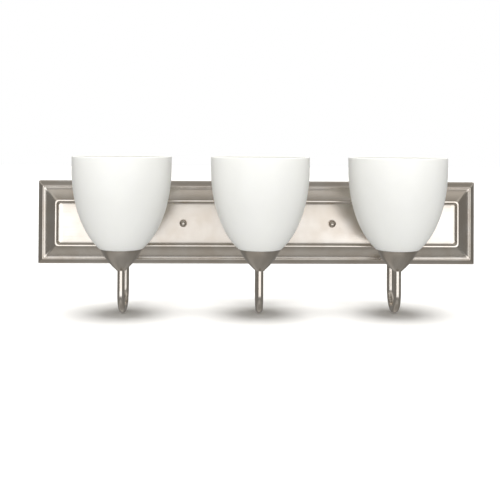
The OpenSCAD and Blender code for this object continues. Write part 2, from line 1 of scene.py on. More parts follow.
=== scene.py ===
"""Three-light vanity bar: satin nickel wall plate, bent arms and cone cups, opal bell shades.

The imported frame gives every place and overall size. Lengths are metres, X runs along the
bar, the wall is the plane y = 0, the room is on the -Y side and Z is up.
"""

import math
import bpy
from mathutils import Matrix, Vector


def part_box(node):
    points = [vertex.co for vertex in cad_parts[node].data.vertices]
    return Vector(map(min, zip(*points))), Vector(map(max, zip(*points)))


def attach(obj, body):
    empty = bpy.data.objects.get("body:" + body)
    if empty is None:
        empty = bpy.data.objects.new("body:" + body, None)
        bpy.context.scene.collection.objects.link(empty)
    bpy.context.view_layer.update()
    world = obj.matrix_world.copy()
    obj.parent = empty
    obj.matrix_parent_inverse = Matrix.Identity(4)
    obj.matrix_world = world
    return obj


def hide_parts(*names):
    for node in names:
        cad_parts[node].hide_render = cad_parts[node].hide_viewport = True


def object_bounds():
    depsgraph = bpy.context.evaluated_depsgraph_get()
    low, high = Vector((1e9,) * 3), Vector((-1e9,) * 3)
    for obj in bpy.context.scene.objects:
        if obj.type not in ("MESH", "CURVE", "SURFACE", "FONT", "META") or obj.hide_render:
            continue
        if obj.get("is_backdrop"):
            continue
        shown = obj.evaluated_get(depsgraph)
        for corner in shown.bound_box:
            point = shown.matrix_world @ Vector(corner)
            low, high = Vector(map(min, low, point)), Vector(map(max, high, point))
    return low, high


bl_info = {
    "name": "Vanity light bar",
    "version": (1, 0, 0),
    "blender": (4, 5, 0),
    "location": "3D View > Sidebar > Light bar",
    "description": "Builds a three-light vanity bar round its packed frame",
    "category": "Object",
}

import bmesh
import bpy
from bpy.props import FloatProperty, FloatVectorProperty, IntProperty, PointerProperty
from mathutils import Matrix, Quaternion, Vector

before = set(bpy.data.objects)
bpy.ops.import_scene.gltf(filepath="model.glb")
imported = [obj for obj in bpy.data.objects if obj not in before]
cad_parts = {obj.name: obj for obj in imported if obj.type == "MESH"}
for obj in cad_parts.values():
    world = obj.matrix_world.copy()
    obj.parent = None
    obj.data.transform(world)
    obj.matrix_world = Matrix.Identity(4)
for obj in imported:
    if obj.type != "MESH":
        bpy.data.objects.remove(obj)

MM = 0.001
THREAD_GAP = 0.05 * MM  # between a thread and the nut or hole round it
SIDES = ("left", "middle", "right")
BOXES = {node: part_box(node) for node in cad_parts}


# ---------------------------------------------------------------- values


def linear(code):
    """Linear colour of an sRGB hex code."""
    channels = [int(code[i : i + 2], 16) / 255 for i in (1, 3, 5)]
    return [c / 12.92 if c <= 0.04045 else ((c + 0.055) / 1.055) ** 2.4 for c in channels]


def length(name, text, size):
    """A length property whose default is given in millimetres."""
    return FloatProperty(
        name=name, description=text, default=size * MM, min=0, precision=5, unit="LENGTH"
    )


def colour(name, text, code):
    """A colour property whose default is an sRGB hex code."""
    return FloatVectorProperty(
        name=name, description=text, default=linear(code), subtype="COLOR", min=0, max=1
    )


def amount(name, text, value):
    """A strength or brightness property."""
    return FloatProperty(name=name, description=text, default=value, min=0)


def angle(name, text, value):
    """An angle property, in radians."""
    return FloatProperty(name=name, description=text, default=value, subtype="ANGLE")


class PlateSizes(bpy.types.PropertyGroup):
    """Moulding of the backplate, from its edge inwards"""

    sheet: length("Sheet", "Thickness of the pressed sheet", 0.9)
    edge_wall: length("Edge wall", "Straight wall round the edge", 5.5)
    ovolo_w: length("Ovolo width", "Width of the rounded outer moulding", 8.7)
    ovolo_h: length("Ovolo rise", "Rise of the rounded outer moulding", 8.6)
    ovolo_swell: length("Ovolo swell", "How far that moulding swells past a straight slope", 1.1)
    tight_bend: length("Tight bend", "Inside radius of the sheet's tightest bend", 0.3)
    quirk_h: length("Quirk", "Depth of the flat band below the outer moulding's crest", 1)
    fillet_w: length("Fillet width", "Width of the flat band", 3)
    fillet_rise: length("Fillet rise", "How much the flat band leans outwards", 0.4)
    cove_w: length("Cove width", "Width of the hollow moulding", 13.6)
    cove_h: length("Cove rise", "Rise of the hollow moulding", 7.3)
    cove_dip: length("Cove dip", "How far that moulding dips below a straight slope", 0.6)
    bead_w: length("Bead width", "Width of the bead round the panel", 2.9)
    bead_h: length("Bead height", "Height of the bead", 1.2)
    bead_edge: length("Bead edge", "Width of the bead's rounded edges", 0.8)
    bevel_w: length("Slope width", "Width of the slope inside the bead", 3.7)
    groove_w: length("Groove width", "Width of the steep side of the groove along the bead", 2)
    groove_dip: length("Groove dip", "How far the groove lies under the panel", 0.45)
    panel_drop: length("Panel drop", "Depth of the panel below the foot of the bead", 1)
    corner: length("Corner", "Corner radius of the outer mouldings", 1.7)
    bead_corner: length("Bead corner", "Corner radius of the bead", 4.6)


class ArmSizes(bpy.types.PropertyGroup):
    """Arm tube, its collar and the socket cup"""

    tube_wall: length("Tube wall", "Wall of the arm's tube", 0.9)
    bend: length("Bend", "Radius of both bends on the tube's centre line", 25)
    fit: length("Fit", "Gap between pieces that are pushed together", 0.1)
    collar_flange: length("Collar flange", "Height of the collar's flange", 1.6)
    collar_neck: length("Collar neck", "Wall of the collar's neck", 2)
    cup_tip: length("Cup tip", "Wall of the cup's tip round the arm", 1.75)
    cup_swell: length("Cup swell", "How far the cup's side swells past a straight cone", 1.7)
    cup_wall: length("Cup wall", "Wall of the cup", 1.2)
    cup_floor: length("Cup floor", "Thickness of the cup's solid tip", 6.1)
    cup_lip: length("Cup lip", "Width of the lip that the shade rests on", 3)


class ShadeSizes(bpy.types.PropertyGroup):
    """Opal bell shade and the ring that clamps it"""

    foot_over: length("Foot overhang", "How far the shade's foot stands out past the cup", 0.4)
    glass: length("Glass", "Wall of the glass", 3.5)
    straight: length("Straight", "Distance from the rim to where the side draws in", 16)
    rim: length("Rim", "Radius of the polished rim", 1)
    bearing: length("Bearing", "Width of the ring's flange that presses on the glass", 3.5)
    flange: length("Ring flange", "Thickness of the ring's flange", 1.6)
    flange_step: length("Flange step", "How far the flange stands out past the ring", 1.2)
    grips: IntProperty(name="Grips", description="Finger grips round the ring", default=16, min=4)


class HolderSizes(bpy.types.PropertyGroup):
    """Lampholder and lamp"""

    wall: length("Holder wall", "Wall of the lampholder", 5.4)
    skirt_step: length("Skirt step", "How far the skirt stands back from the thread", 1.5)
    floor: length("Holder floor", "Thickness of the lampholder's floor", 6)
    ring_pitch: length("Ring thread", "Pitch of the lampholder's outer thread", 3)
    bulb_wall: length("Bulb wall", "Wall of the lamp's glass", 0.9)
    neck: length("Bulb neck", "How far the bulb's neck stands inside the cap", 1)
    thread: length("Cap thread", "Thread pitch of the lamp's cap", 3.63)
    wave: length("Thread wave", "Half the depth of the rolled thread", 0.35)
    cap_wall: length("Cap wall", "Wall of the lamp's cap", 0.4)


class FixingSizes(bpy.types.PropertyGroup):
    """Strap, studs, nuts and connectors"""

    box_pitch: length("Box pitch", "Distance between the strap's slots", 88.9)
    slot_l: length("Slot length", "Length of a slot", 12)
    slot_w: length("Slot width", "Width of a slot", 4.6)
    wire_hole: length("Wire hole", "Radius of the strap's middle hole", 5.2)
    stud: length("Stud", "Diameter of the studs and the ground screw", 4)
    stud_thread: length("Stud thread", "Thread pitch of the studs", 0.7)
    dome_flange: length("Cap nut flange", "Thickness of the cap nut's flange", 1)
    dome_barrel: length("Cap nut barrel", "Height of the cap nut's straight side", 2.2)
    dome_step: length("Cap nut step", "How far the flange stands out past the dome", 0.5)


class Finishes(bpy.types.PropertyGroup):
    """Colours of the finishes"""

    nickel: colour("Satin nickel", "Metal colour of the nickel plate", "#d8d1c8")
    nickel_shade: colour("Nickel shade", "Warmer patches in the nickel plate", "#cfc5b9")
    zinc: colour("Zinc", "Colour of the zinc plated steel", "#c3c6c8")
    opal: colour("Opal", "Colour of the opal glass", "#f4f4f0")
    frost: colour("Frosted glass", "Colour of the lamp's glass", "#f7f5ef")
    cap: colour("Lamp cap", "Metal colour of the lamp's cap", "#cfcfcb")
    insulator: colour("Insulator", "Colour of the lamp's black glass", "#1b1918")
    porcelain: colour("Porcelain", "Colour of the glazed lampholder", "#ece8df")
    phenolic: colour("Phenolic", "Colour of the moulded ring", "#57534f")
    brass: colour("Brass", "Metal colour of the brass", "#d6b36a")
    black: colour("Black lead", "Colour of the black insulation", "#232221")
    white: colour("White lead", "Colour of the white insulation", "#e6e4de")
    green: colour("Green lead", "Colour of the green insulation", "#2f7a46")
    connector: colour("Connector", "Colour of the wire connectors", "#bd6a26")
    paper: colour("Studio floor", "Colour of the paper on the floor", "#f4f3f1")


class StageSettings(bpy.types.PropertyGroup):
    """Camera and studio light"""

    camera: FloatVectorProperty(
        name="Camera", description="Place of the camera", size=3,
        default=(-0.0412, -1.25, 0.1172), subtype="XYZ", unit="LENGTH",
    )
    lens: FloatProperty(name="Lens", description="Focal length in millimetres", default=63.9, min=1)
    turn: angle("Turn", "Turn to the right", 0.024)
    tilt: angle("Tilt", "Tilt upwards", 0.015)
    roll: angle("Roll", "Roll of the camera", 0.006)
    shift: FloatProperty(name="Shift", description="Vertical lens shift", default=-0.249)
    overhead: amount("Overhead", "Strength of the overhead light", 3.2)
    front: amount("Front", "Strength of the front fill", 0.62)
    sides: amount("Sides", "Strength of each side fill", 0.4)
    room: amount("Room", "Brightness of the studio round the object", 0.23)
    band: amount("Band", "Brightness of the lit band in front", 0.95)
    ends: amount("Ends", "Extra brightness towards its ends", 0.9)
    above: amount("Above", "Extra brightness above", 0.42)
    below: amount("Below", "Extra brightness below", 0.26)


class LightBarSettings(bpy.types.PropertyGroup):
    """Everything that the light bar is built from"""

    plate: PointerProperty(type=PlateSizes, name="Backplate", description="Moulding of the backplate")
    arm: PointerProperty(type=ArmSizes, name="Arm", description="Arm, collar and cup")
    shade: PointerProperty(type=ShadeSizes, name="Shade", description="Shade and ring")
    holder: PointerProperty(type=HolderSizes, name="Lampholder", description="Lampholder and lamp")
    fixing: PointerProperty(type=FixingSizes, name="Fixings", description="Strap, studs and nuts")
    finish: PointerProperty(type=Finishes, name="Finishes", description="Colours")
    stage: PointerProperty(type=StageSettings, name="Stage", description="Camera and light")


# ---------------------------------------------------------------- places from the frame


def low(node):
    """Lowest corner of a CAD node."""
    return BOXES[node][0]


def high(node):
    """Highest corner of a CAD node."""
    return BOXES[node][1]


def middle(node):
    """Centre of a CAD node's box."""
    return (low(node) + high(node)) / 2


def span(node):
    """Size of a CAD node's box."""
    return high(node) - low(node)


def light_axis(side):
    """Point on a light's vertical axis at height zero."""
    centre = middle(f"shade_{side}")
    return Vector((centre.x, centre.y, 0))


# ---------------------------------------------------------------- outlines


def arc(centre_x, centre_y, radius_x, radius_y, start, end, steps):
    """Points of an elliptical arc, its angles in degrees."""
    angles = [math.radians(start + (end - start) * i / steps) for i in range(steps + 1)]
    return [(centre_x + radius_x * math.cos(a), centre_y + radius_y * math.sin(a)) for a in angles]


def swell_arc(start, end, rise, steps):
    """Points of an arc from start to end that swells out to the right of that direction."""
    p = Vector(start)
    q = Vector(end)
    chord = (q - p).length
    along = (q - p) / chord
    right = Vector((along.y, -along.x))
    radius = (chord**2 / 4 + rise**2) / (2 * rise)
    half = math.asin(chord / 2 / radius)
    centre = (p + q) / 2 - right * (radius - rise)
    angles = [-half + 2 * half * i / steps for i in range(steps + 1)]
    return [tuple(centre + radius * (right * math.cos(a) + along * math.sin(a))) for a in angles]


def beside(points, distance):
    """The same line moved sideways, to the right of its direction."""
    moved = []
    for i, point in enumerate(points):
        before = Vector(points[max(i - 1, 0)])
        after = Vector(points[min(i + 1, len(points) - 1)])
        along = (after - before).normalized()
        moved.append((point[0] + distance * along.y, point[1] - distance * along.x))
    return moved


def thread_line(radius, start, end, wave, pitch, steps):
    """Ridges of a rolled thread, as (radius, height) points."""
    points = []
    for i in range(steps + 1):
        z = start + (end - start) * i / steps
        points.append((radius + wave * (1 - math.cos(2 * math.pi * (z - start) / pitch)), z))
    return points


# ---------------------------------------------------------------- mesh helpers


def lathe(outline, closed=True, steps=96):
    """Turns (radius, height) points round Z."""
    mesh = bmesh.new()
    points = [mesh.verts.new((r, 0, z)) for r, z in outline]
    pairs = list(zip(points, points[1:]))
    if closed:
        pairs.append((points[-1], points[0]))
    edges = [mesh.edges.new(pair) for pair in pairs]
    bmesh.ops.spin(
        mesh, geom=points + edges, cent=(0, 0, 0), axis=(0, 0, 1), dvec=(0, 0, 0),
        angle=2 * math.pi, steps=steps, use_merge=True, use_duplicate=False,
    )
    bmesh.ops.remove_doubles(mesh, verts=mesh.verts, dist=1e-6)
    bmesh.ops.dissolve_degenerate(mesh, edges=mesh.edges, dist=1e-7)
    bmesh.ops.recalc_face_normals(mesh, faces=mesh.faces)
    return mesh


def place(mesh, where, towards="up"):
    """Moves a mesh drawn round Z to a point; towards "room" lays its axis along -Y."""
    turn = Matrix.Rotation(math.radians(90), 4, "X") if towards == "room" else Matrix()
    bmesh.ops.transform(mesh, matrix=Matrix.Translation(where) @ turn, verts=mesh.verts)
    return mesh


def join(meshes):
    """One mesh that holds all of these."""
    joined = bmesh.new()
    for mesh in meshes:
        part = bpy.data.meshes.new("part")
        mesh.to_mesh(part)
        mesh.free()
        joined.from_mesh(part)
        bpy.data.meshes.remove(part)
    return joined


def finish_piece(mesh, name, finish, nodes, body="fixture", bevel=0.0, sharp=35):
    """Makes the piece in its finish, with soft shading where faces meet under the sharp angle."""
    data = bpy.data.meshes.new(name)
    for edge in mesh.edges:
        edge.smooth = not edge.is_boundary and edge.calc_face_angle(0) < math.radians(sharp)
    mesh.to_mesh(data)
    mesh.free()
    data.materials.append(MATERIALS[finish])
    for face in data.polygons:
        face.use_smooth = True
    piece = bpy.data.objects.new(name, data)
    bpy.context.scene.collection.objects.link(piece)
    if bevel:
        edge = piece.modifiers.new("soft edges", "BEVEL")
        edge.width = bevel
        edge.segments = 2
        edge.limit_method = "ANGLE"
        edge.angle_limit = math.radians(sharp)
        edge.harden_normals = True
    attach(piece, body)
    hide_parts(*nodes)
    return piece


def of_kind(made, kind):
    """The vertices or edges among what an operator made."""
    return [item for item in made["geom"] if isinstance(item, kind)]


def circle(mesh, radius, steps, matrix):
    """Edges of a new circle, put where the matrix says."""
    made = bmesh.ops.create_circle(mesh, cap_ends=False, radius=radius, segments=steps, matrix=matrix)
    return list({edge for vert in made["verts"] for edge in vert.link_edges})


def fill(mesh, edges, normal=(0, 0, 1)):
    """Flat faces between an outline and its holes."""
    bmesh.ops.triangle_fill(mesh, use_beauty=True, use_dissolve=False, edges=edges, normal=normal)


def loop_round(mesh, x, y, radius, steps=48):
    """Edges of a circle in the XY plane."""
    return circle(mesh, radius, steps, Matrix.Translation((x, y, 0)))


def loop_slot(mesh, x, y, run, width, steps=48):
    """Edges of a slot with round ends, drawn out along X."""
    edges = loop_round(mesh, x, y, width / 2, steps)
    verts = {vert for edge in edges for vert in edge.verts}
    for side in (-1, 1):
        half = [vert for vert in verts if (vert.co.x - x) * side > 1e-6]
        bmesh.ops.translate(mesh, vec=(side * (run - width) / 2, 0, 0), verts=half)
    return edges


def thicken(mesh, thickness):
    """Gives flat faces a thickness along Z."""
    made = bmesh.ops.extrude_face_region(mesh, geom=mesh.faces[:], use_keep_orig=True)
    bmesh.ops.translate(mesh, vec=(0, 0, thickness), verts=of_kind(made, bmesh.types.BMVert))
    bmesh.ops.recalc_face_normals(mesh, faces=mesh.faces)
    return mesh


def hex_nut(corners, height, hole):
    """Hexagon nut, measured over its corners, with its bore, standing on the XY plane."""
    mesh = bmesh.new()
    edges = loop_round(mesh, 0, 0, corners / 2, 6)
    edges += loop_round(mesh, 0, 0, hole, 36)
    fill(mesh, edges)
    return thicken(mesh, height)


def copy_of(node):
    """The shape of a CAD node as a clean mesh, its doubles merged."""
    mesh = bmesh.new()
    mesh.from_mesh(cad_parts[node].data)
    bmesh.ops.remove_doubles(mesh, verts=mesh.verts, dist=1e-6)
    return mesh


# ---------------------------------------------------------------- materials


def add(tree, kind, values=None, links=None, **settings):
    """Adds one node with its settings, its input values and its links."""
    node = tree.nodes.new(kind)
    for name, value in settings.items():
        setattr(node, name, value)
    for name, value in (values or {}).items():
        node.inputs[name].default_value = value
    for name, source in (links or {}).items():
        tree.links.new(source, node.inputs[name])
    return node


def start(name, values):
    """A new material: its tree, its shader with constant values, and the piece's own coordinates."""
    material = bpy.data.materials.new(name)
    material.use_nodes = True
    tree = material.node_tree
    tree.nodes.clear()
    shader = add(tree, "ShaderNodeBsdfPrincipled", values)
    add(tree, "ShaderNodeOutputMaterial", links={"Surface": shader.outputs["BSDF"]})
    where = add(tree, "ShaderNodeTexCoord").outputs["Object"]
    return material, tree, shader, where


def texture(made, spacing, detail=2.0):
    """Noise whose features are spacing millimetres apart along X, Y and Z."""
    _, tree, _, where = made
    scale = tuple(1 / (size * MM) for size in spacing)
    place_node = add(tree, "ShaderNodeMapping", {"Scale": scale}, {"Vector": where})
    noise = add(
        tree, "ShaderNodeTexNoise", {"Scale": 1.0, "Detail": detail, "Roughness": 0.55},
        {"Vector": place_node.outputs["Vector"]},
    )
    return noise.outputs["Fac"]


def tint(tree, factor, first, second):
    """Colour that runs from first to second."""
    ramp = add(tree, "ShaderNodeValToRGB", links={"Fac": factor})
    ramp.color_ramp.elements[0].position = 0.35
    ramp.color_ramp.elements[0].color = (*first, 1)
    ramp.color_ramp.elements[1].position = 0.65
    ramp.color_ramp.elements[1].color = (*second, 1)
    return ramp.outputs["Color"]


def vary(tree, factor, least, most):
    """Value that runs from least to most over the middle of a texture."""
    values = {"From Min": 0.3, "From Max": 0.7, "To Min": least, "To Max": most}
    return add(tree, "ShaderNodeMapRange", values, {"Value": factor}).outputs["Result"]


def relief(tree, shader, height, depth, strength=1.0):
    """Small relief of the surface, depth in millimetres."""
    values = {"Strength": strength, "Distance": depth * MM}
    bump = add(tree, "ShaderNodeBump", values, {"Height": height})
    tree.links.new(bump.outputs["Normal"], shader.inputs["Normal"])


def darker(rgb, share):
    """The colour times a share."""
    return [channel * share for channel in rgb]


def coat(made, tone, colours, grain, roughness, depth=0.0, strength=0.0):
    """Runs the colour over one texture, and the roughness and any relief over another."""
    material, tree, shader, _ = made
    tree.links.new(tint(tree, tone, *colours), shader.inputs["Base Color"])
    tree.links.new(vary(tree, grain, *roughness), shader.inputs["Roughness"])
    if depth:
        relief(tree, shader, grain, depth, strength)
    return material


def satin_nickel(name, finish, brush):
    """Satin nickel plate: buffed along one way, so highlights are soft and drawn out across it."""
    made = start(name, {"Metallic": 1.0})
    streaks = texture(made, brush, 3.0)
    clouds = texture(made, (34, 34, 34))
    return coat(made, clouds, (finish.nickel, finish.nickel_shade), streaks, (0.17, 0.25), 0.004, 0.35)


def zinc_steel(name, finish):
    """Zinc plated steel: small bluish and warm spangles, dull where the plate is thin."""
    made = start(name, {"Metallic": 1.0})
    material, tree, shader, where = made
    spangle = 1.6 * MM
    spread = add(tree, "ShaderNodeMapping", {"Scale": (1 / spangle,) * 3}, {"Vector": where})
    cells = add(tree, "ShaderNodeTexVoronoi", {"Scale": 1.0}, {"Vector": spread.outputs["Vector"]})
    grey = add(tree, "ShaderNodeSeparateColor", links={"Color": cells.outputs["Color"]}).outputs["Red"]
    warm = [finish.zinc[0], finish.zinc[1] * 0.97, finish.zinc[2] * 0.88]
    coat(made, grey, (darker(finish.zinc, 0.82), warm), grey, (0.3, 0.46))
    relief(tree, shader, texture(made, (0.5, 0.5, 0.5)), 0.02, 0.4)
    return material


def opal_glass(name, finish):
    """Opal glass etched to a satin skin: light spreads in it, and highlights are broad and faint."""
    values = {"IOR": 1.5, "Specular IOR Level": 0.4}
    values |= {"Subsurface Weight": 0.2, "Subsurface Scale": 0.002, "Subsurface Radius": (1.0, 1.0, 0.92)}
    made = start(name, values)
    clouds = texture(made, (26, 26, 40))
    etch = texture(made, (0.5, 0.5, 0.5), 3.0)
    return coat(made, clouds, (finish.opal, darker(finish.opal, 0.985)), etch, (0.34, 0.46), 0.006, 0.35)


def frosted_glass(name, finish):
    """Lamp glass frosted inside: a smooth skin over an even white."""
    values = {"IOR": 1.5, "Subsurface Weight": 0.25, "Subsurface Scale": 0.002}
    made = start(name, values | {"Subsurface Radius": (1.0, 0.97, 0.9)})
    powder = texture(made, (1.4, 1.4, 1.4), 3.0)
    return coat(made, powder, (finish.frost, darker(finish.frost, 0.96)), powder, (0.16, 0.26))


def rolled_metal(name, base_colour, tarnish):
    """Thin rolled sheet metal: faint rings from rolling, with patches of tarnish."""
    made = start(name, {"Metallic": 1.0})
    rings = texture(made, (12, 12, 0.35), 3.0)
    patches = texture(made, (7, 7, 7))
    return coat(made, patches, (base_colour, darker(base_colour, tarnish)), rings, (0.2, 0.36), 0.01, 0.4)


def glazed_porcelain(name, finish):
    """Glazed porcelain: glossy and a little wavy, with a few dark specks under the glaze."""
    made = start(name, {"IOR": 1.52, "Coat Weight": 0.4, "Coat Roughness": 0.04})
    material, tree, shader, _ = made
    specks = texture(made, (0.8, 0.8, 0.8), 1.0)
    limits = {"From Min": 0.70, "From Max": 0.76, "To Min": 0.0, "To Max": 1.0}
    fleck = add(tree, "ShaderNodeMapRange", limits, {"Value": specks}).outputs["Result"]
    mix = add(tree, "ShaderNodeValToRGB", links={"Fac": fleck})
    mix.color_ramp.elements[0].color = (*finish.porcelain, 1)
    mix.color_ramp.elements[1].color = (*darker(finish.porcelain, 0.45), 1)
    tree.links.new(mix.outputs["Color"], shader.inputs["Base Color"])
    waves = texture(made, (4, 4, 4), 1.0)
    tree.links.new(vary(tree, waves, 0.1, 0.18), shader.inputs["Roughness"])
    relief(tree, shader, waves, 0.03, 0.4)
    return material


def moulded_plastic(name, base_colour, gloss, grain):
    """Moulded plastic: flow marks in the colour and a fine spark-eroded grain."""
    made = start(name, {"IOR": 1.5})
    flow = texture(made, (3, 9, 5))
    skin = texture(made, (grain, grain, grain), 3.0)
    tones = (base_colour, darker(base_colour, 0.8))
    return coat(made, flow, tones, skin, (gloss, gloss + 0.14), 0.03, 0.5)


def black_glass(name, finish):
    """Black lamp glass: almost black, glossy, with faint swirls from pouring."""
    made = start(name, {"IOR": 1.52})
    swirl = texture(made, (2.5, 2.5, 1))
    lighter = [channel + 0.02 for channel in finish.insulator]
    return coat(made, swirl, (finish.insulator, lighter), swirl, (0.08, 0.2), 0.05, 0.3)


def dyed_zinc(name, finish):
    """Green dyed zinc plate: a metal under a thin dye, worn through to the zinc in small random patches.
    """
    made = start(name, {"Metallic": 0.8})
    wear = texture(made, (1.2, 1.2, 1.2), 3.0)
    return coat(made, wear, (finish.green, darker(finish.zinc, 0.7)), wear, (0.3, 0.45), 0.02, 0.4)


def studio_paper(name, finish):
    """Matte studio paper: a faint fibre tone and no shine."""
    made = start(name, {"IOR": 1.3})
    fibre = texture(made, (60, 90, 60))
    return coat(made, fibre, (finish.paper, darker(finish.paper, 0.99)), fibre, (0.85, 0.95))


def make_materials(finish):
    """Every finish, by the name that the pieces use."""
    return {
        "plate_nickel": satin_nickel("satin nickel, buffed along the bar", finish, (26, 0.9, 0.9)),
        "turned_nickel": satin_nickel("satin nickel, buffed round the axis", finish, (14, 14, 0.8)),
        "button_nickel": satin_nickel("satin nickel, buffed round the wall axis", finish, (9, 0.6, 9)),
        "zinc_steel": zinc_steel("bright zinc plated steel", finish),
        "opal_glass": opal_glass("etched opal glass", finish),
        "lamp_glass": frosted_glass("frosted lamp glass", finish),
        "lamp_cap_metal": rolled_metal("rolled nickel plated cap", finish.cap, 0.9),
        "lamp_insulator": black_glass("black lamp glass", finish),
        "porcelain": glazed_porcelain("glazed porcelain", finish),
        "ring_plastic": moulded_plastic("moulded phenolic", finish.phenolic, 0.34, 0.4),
        "brass": rolled_metal("rolled brass", finish.brass, 0.78),
        "black_pvc": moulded_plastic("black PVC insulation", finish.black, 0.36, 0.5),
        "white_pvc": moulded_plastic("white PVC insulation", finish.white, 0.36, 0.5),
        "green_pvc": moulded_plastic("green PVC insulation", finish.green, 0.36, 0.5),
        "green_screw": dyed_zinc("green dyed zinc plate", finish),
        "connector_plastic": moulded_plastic("moulded polypropylene", finish.connector, 0.26, 0.5),
    }


MATERIALS = {}


def dress(node, finish_name):
    """Gives a CAD node, which stays as it is, its material."""
    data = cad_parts[node].data
    data.materials.clear()
    data.materials.append(MATERIALS[finish_name])


# ---------------------------------------------------------------- backplate


def plate_levels(s):
    """The moulding's face from its edge inwards: (inset, distance from the wall, corner radius)."""
    crest_r = s.sheet + s.tight_bend
    crest = s.edge_wall + s.ovolo_h - crest_r
    crest_end = math.degrees(math.asin(1 - s.quirk_h / crest_r))
    crest_start = 118
    crest_arc = arc(s.ovolo_w - crest_r, crest, crest_r, crest_r, crest_start, crest_end, 12)
    fillet = s.edge_wall + s.ovolo_h - s.quirk_h
    fillet_x = s.ovolo_w + s.fillet_w
    bead = fillet + s.cove_h
    bead_x = fillet_x + s.cove_w
    bevel_x = bead_x + s.bead_w
    points = [(0, 0)]
    points += swell_arc(crest_arc[0], (0, s.edge_wall), s.ovolo_swell, 14)[::-1]
    points += crest_arc[1:]
    points += swell_arc((fillet_x, fillet + s.fillet_rise), (bead_x, bead), s.cove_dip, 12)
    points += arc(bead_x + s.bead_edge, bead, s.bead_edge, s.bead_h, 170, 90, 8)
    points += arc(bevel_x - s.bead_edge, bead, s.bead_edge, s.bead_h, 90, 10, 8)
    points += [(bevel_x + s.groove_w, bead - s.panel_drop - s.groove_dip)]
    rounding = 0.4 * MM
    points += [(bevel_x + s.bevel_w + rounding, bead - s.panel_drop)]
    levels = []
    for inset, level in points:
        share = min(max((inset - fillet_x) / s.cove_w, 0), 1)
        levels.append((inset, level, s.corner + (s.bead_corner - s.corner) * share))
    return levels


def plate_edge(mesh, half, corner):
    """Edges of the plate's outline against the wall, with rounded corners."""
    made = bmesh.ops.create_grid(mesh, x_segments=1, y_segments=1, size=1.0)
    bmesh.ops.scale(mesh, vec=(half.x, half.z, 1), verts=made["verts"])
    upright = Matrix.Rotation(math.radians(90), 3, "X")
    bmesh.ops.rotate(mesh, cent=(0, 0, 0), matrix=upright, verts=made["verts"])
    bmesh.ops.bevel(
        mesh, geom=made["verts"], offset=corner, offset_type="OFFSET", segments=9, profile=0.5,
        affect="VERTICES", material=-1,
    )
    edges = mesh.edges[:]
    bmesh.ops.delete(mesh, geom=mesh.faces[:], context="FACES_ONLY")
    return edges


def draw_moulding(mesh, edges, half, before, after):
    """Draws the sheet from one level of the moulding to the next and gives its new edges."""
    made = bmesh.ops.extrude_edge_only(mesh, edges=edges)
    for vert in of_kind(made, bmesh.types.BMVert):
        right = math.copysign(1, vert.co.x)
        up = math.copysign(1, vert.co.z)
        centres = []
        for inset, level, corner in (before, after):
            along = right * (half.x - inset - corner)
            centres.append(Vector((along, -level, up * (half.z - inset - corner))))
        vert.co = centres[1] + (vert.co - centres[0]) * after[2] / before[2]
    return [edge for edge in of_kind(made, bmesh.types.BMEdge) if edge.is_boundary]


def wall_hole(mesh, x, z, level, radius):
    """Edges of a round hole in the panel."""
    turn = Matrix.Translation((x, -level, z)) @ Matrix.Rotation(math.radians(90), 4, "X")
    return circle(mesh, radius, 40, turn)


class LIGHTBAR_OT_backplate(bpy.types.Operator):
    """Builds the pressed backplate with its mouldings, bead and holes"""

    bl_idname = "lightbar.backplate"
    bl_label = "Backplate"

    def execute(self, context):
        s = context.scene.light_bar.plate
        arm = context.scene.light_bar.arm
        stud = context.scene.light_bar.fixing.stud
        half = span("backplate") / 2
        mesh = bmesh.new()
        levels = plate_levels(s)
        panel_edge = plate_edge(mesh, half, s.corner)
        for before, after in zip(levels, levels[1:]):
            panel_edge = draw_moulding(mesh, panel_edge, half, before, after)
        panel_level = levels[-1][1]
        holes = []
        for side in SIDES:
            seat = middle(f"arm_collar_{side}")
            tube = span(f"arm_tube_{side}").x / 2 + arm.fit
            holes += wall_hole(mesh, seat.x, seat.z, panel_level, tube)
        stud_x = high("mounting_studs").x - stud / 2
        for x in (-stud_x, stud_x):
            holes += wall_hole(mesh, x, 0, panel_level, stud / 2 + 0.5 * MM)
        fill(mesh, panel_edge + holes, (0, -1, 0))
        bmesh.ops.recalc_face_normals(mesh, faces=mesh.faces)
        if sum(face.normal.y * face.calc_area() for face in mesh.faces) > 0:
            bmesh.ops.reverse_faces(mesh, faces=mesh.faces)
        piece = finish_piece(mesh, "moulded_backplate", "plate_nickel", ["backplate"], sharp=14)
        wall = piece.modifiers.new("sheet", "SOLIDIFY")
        wall.thickness = s.sheet
        wall.offset = -1
        wall.use_even_offset = True
        piece.visible_shadow = False
        return {"FINISHED"}


# ---------------------------------------------------------------- arms


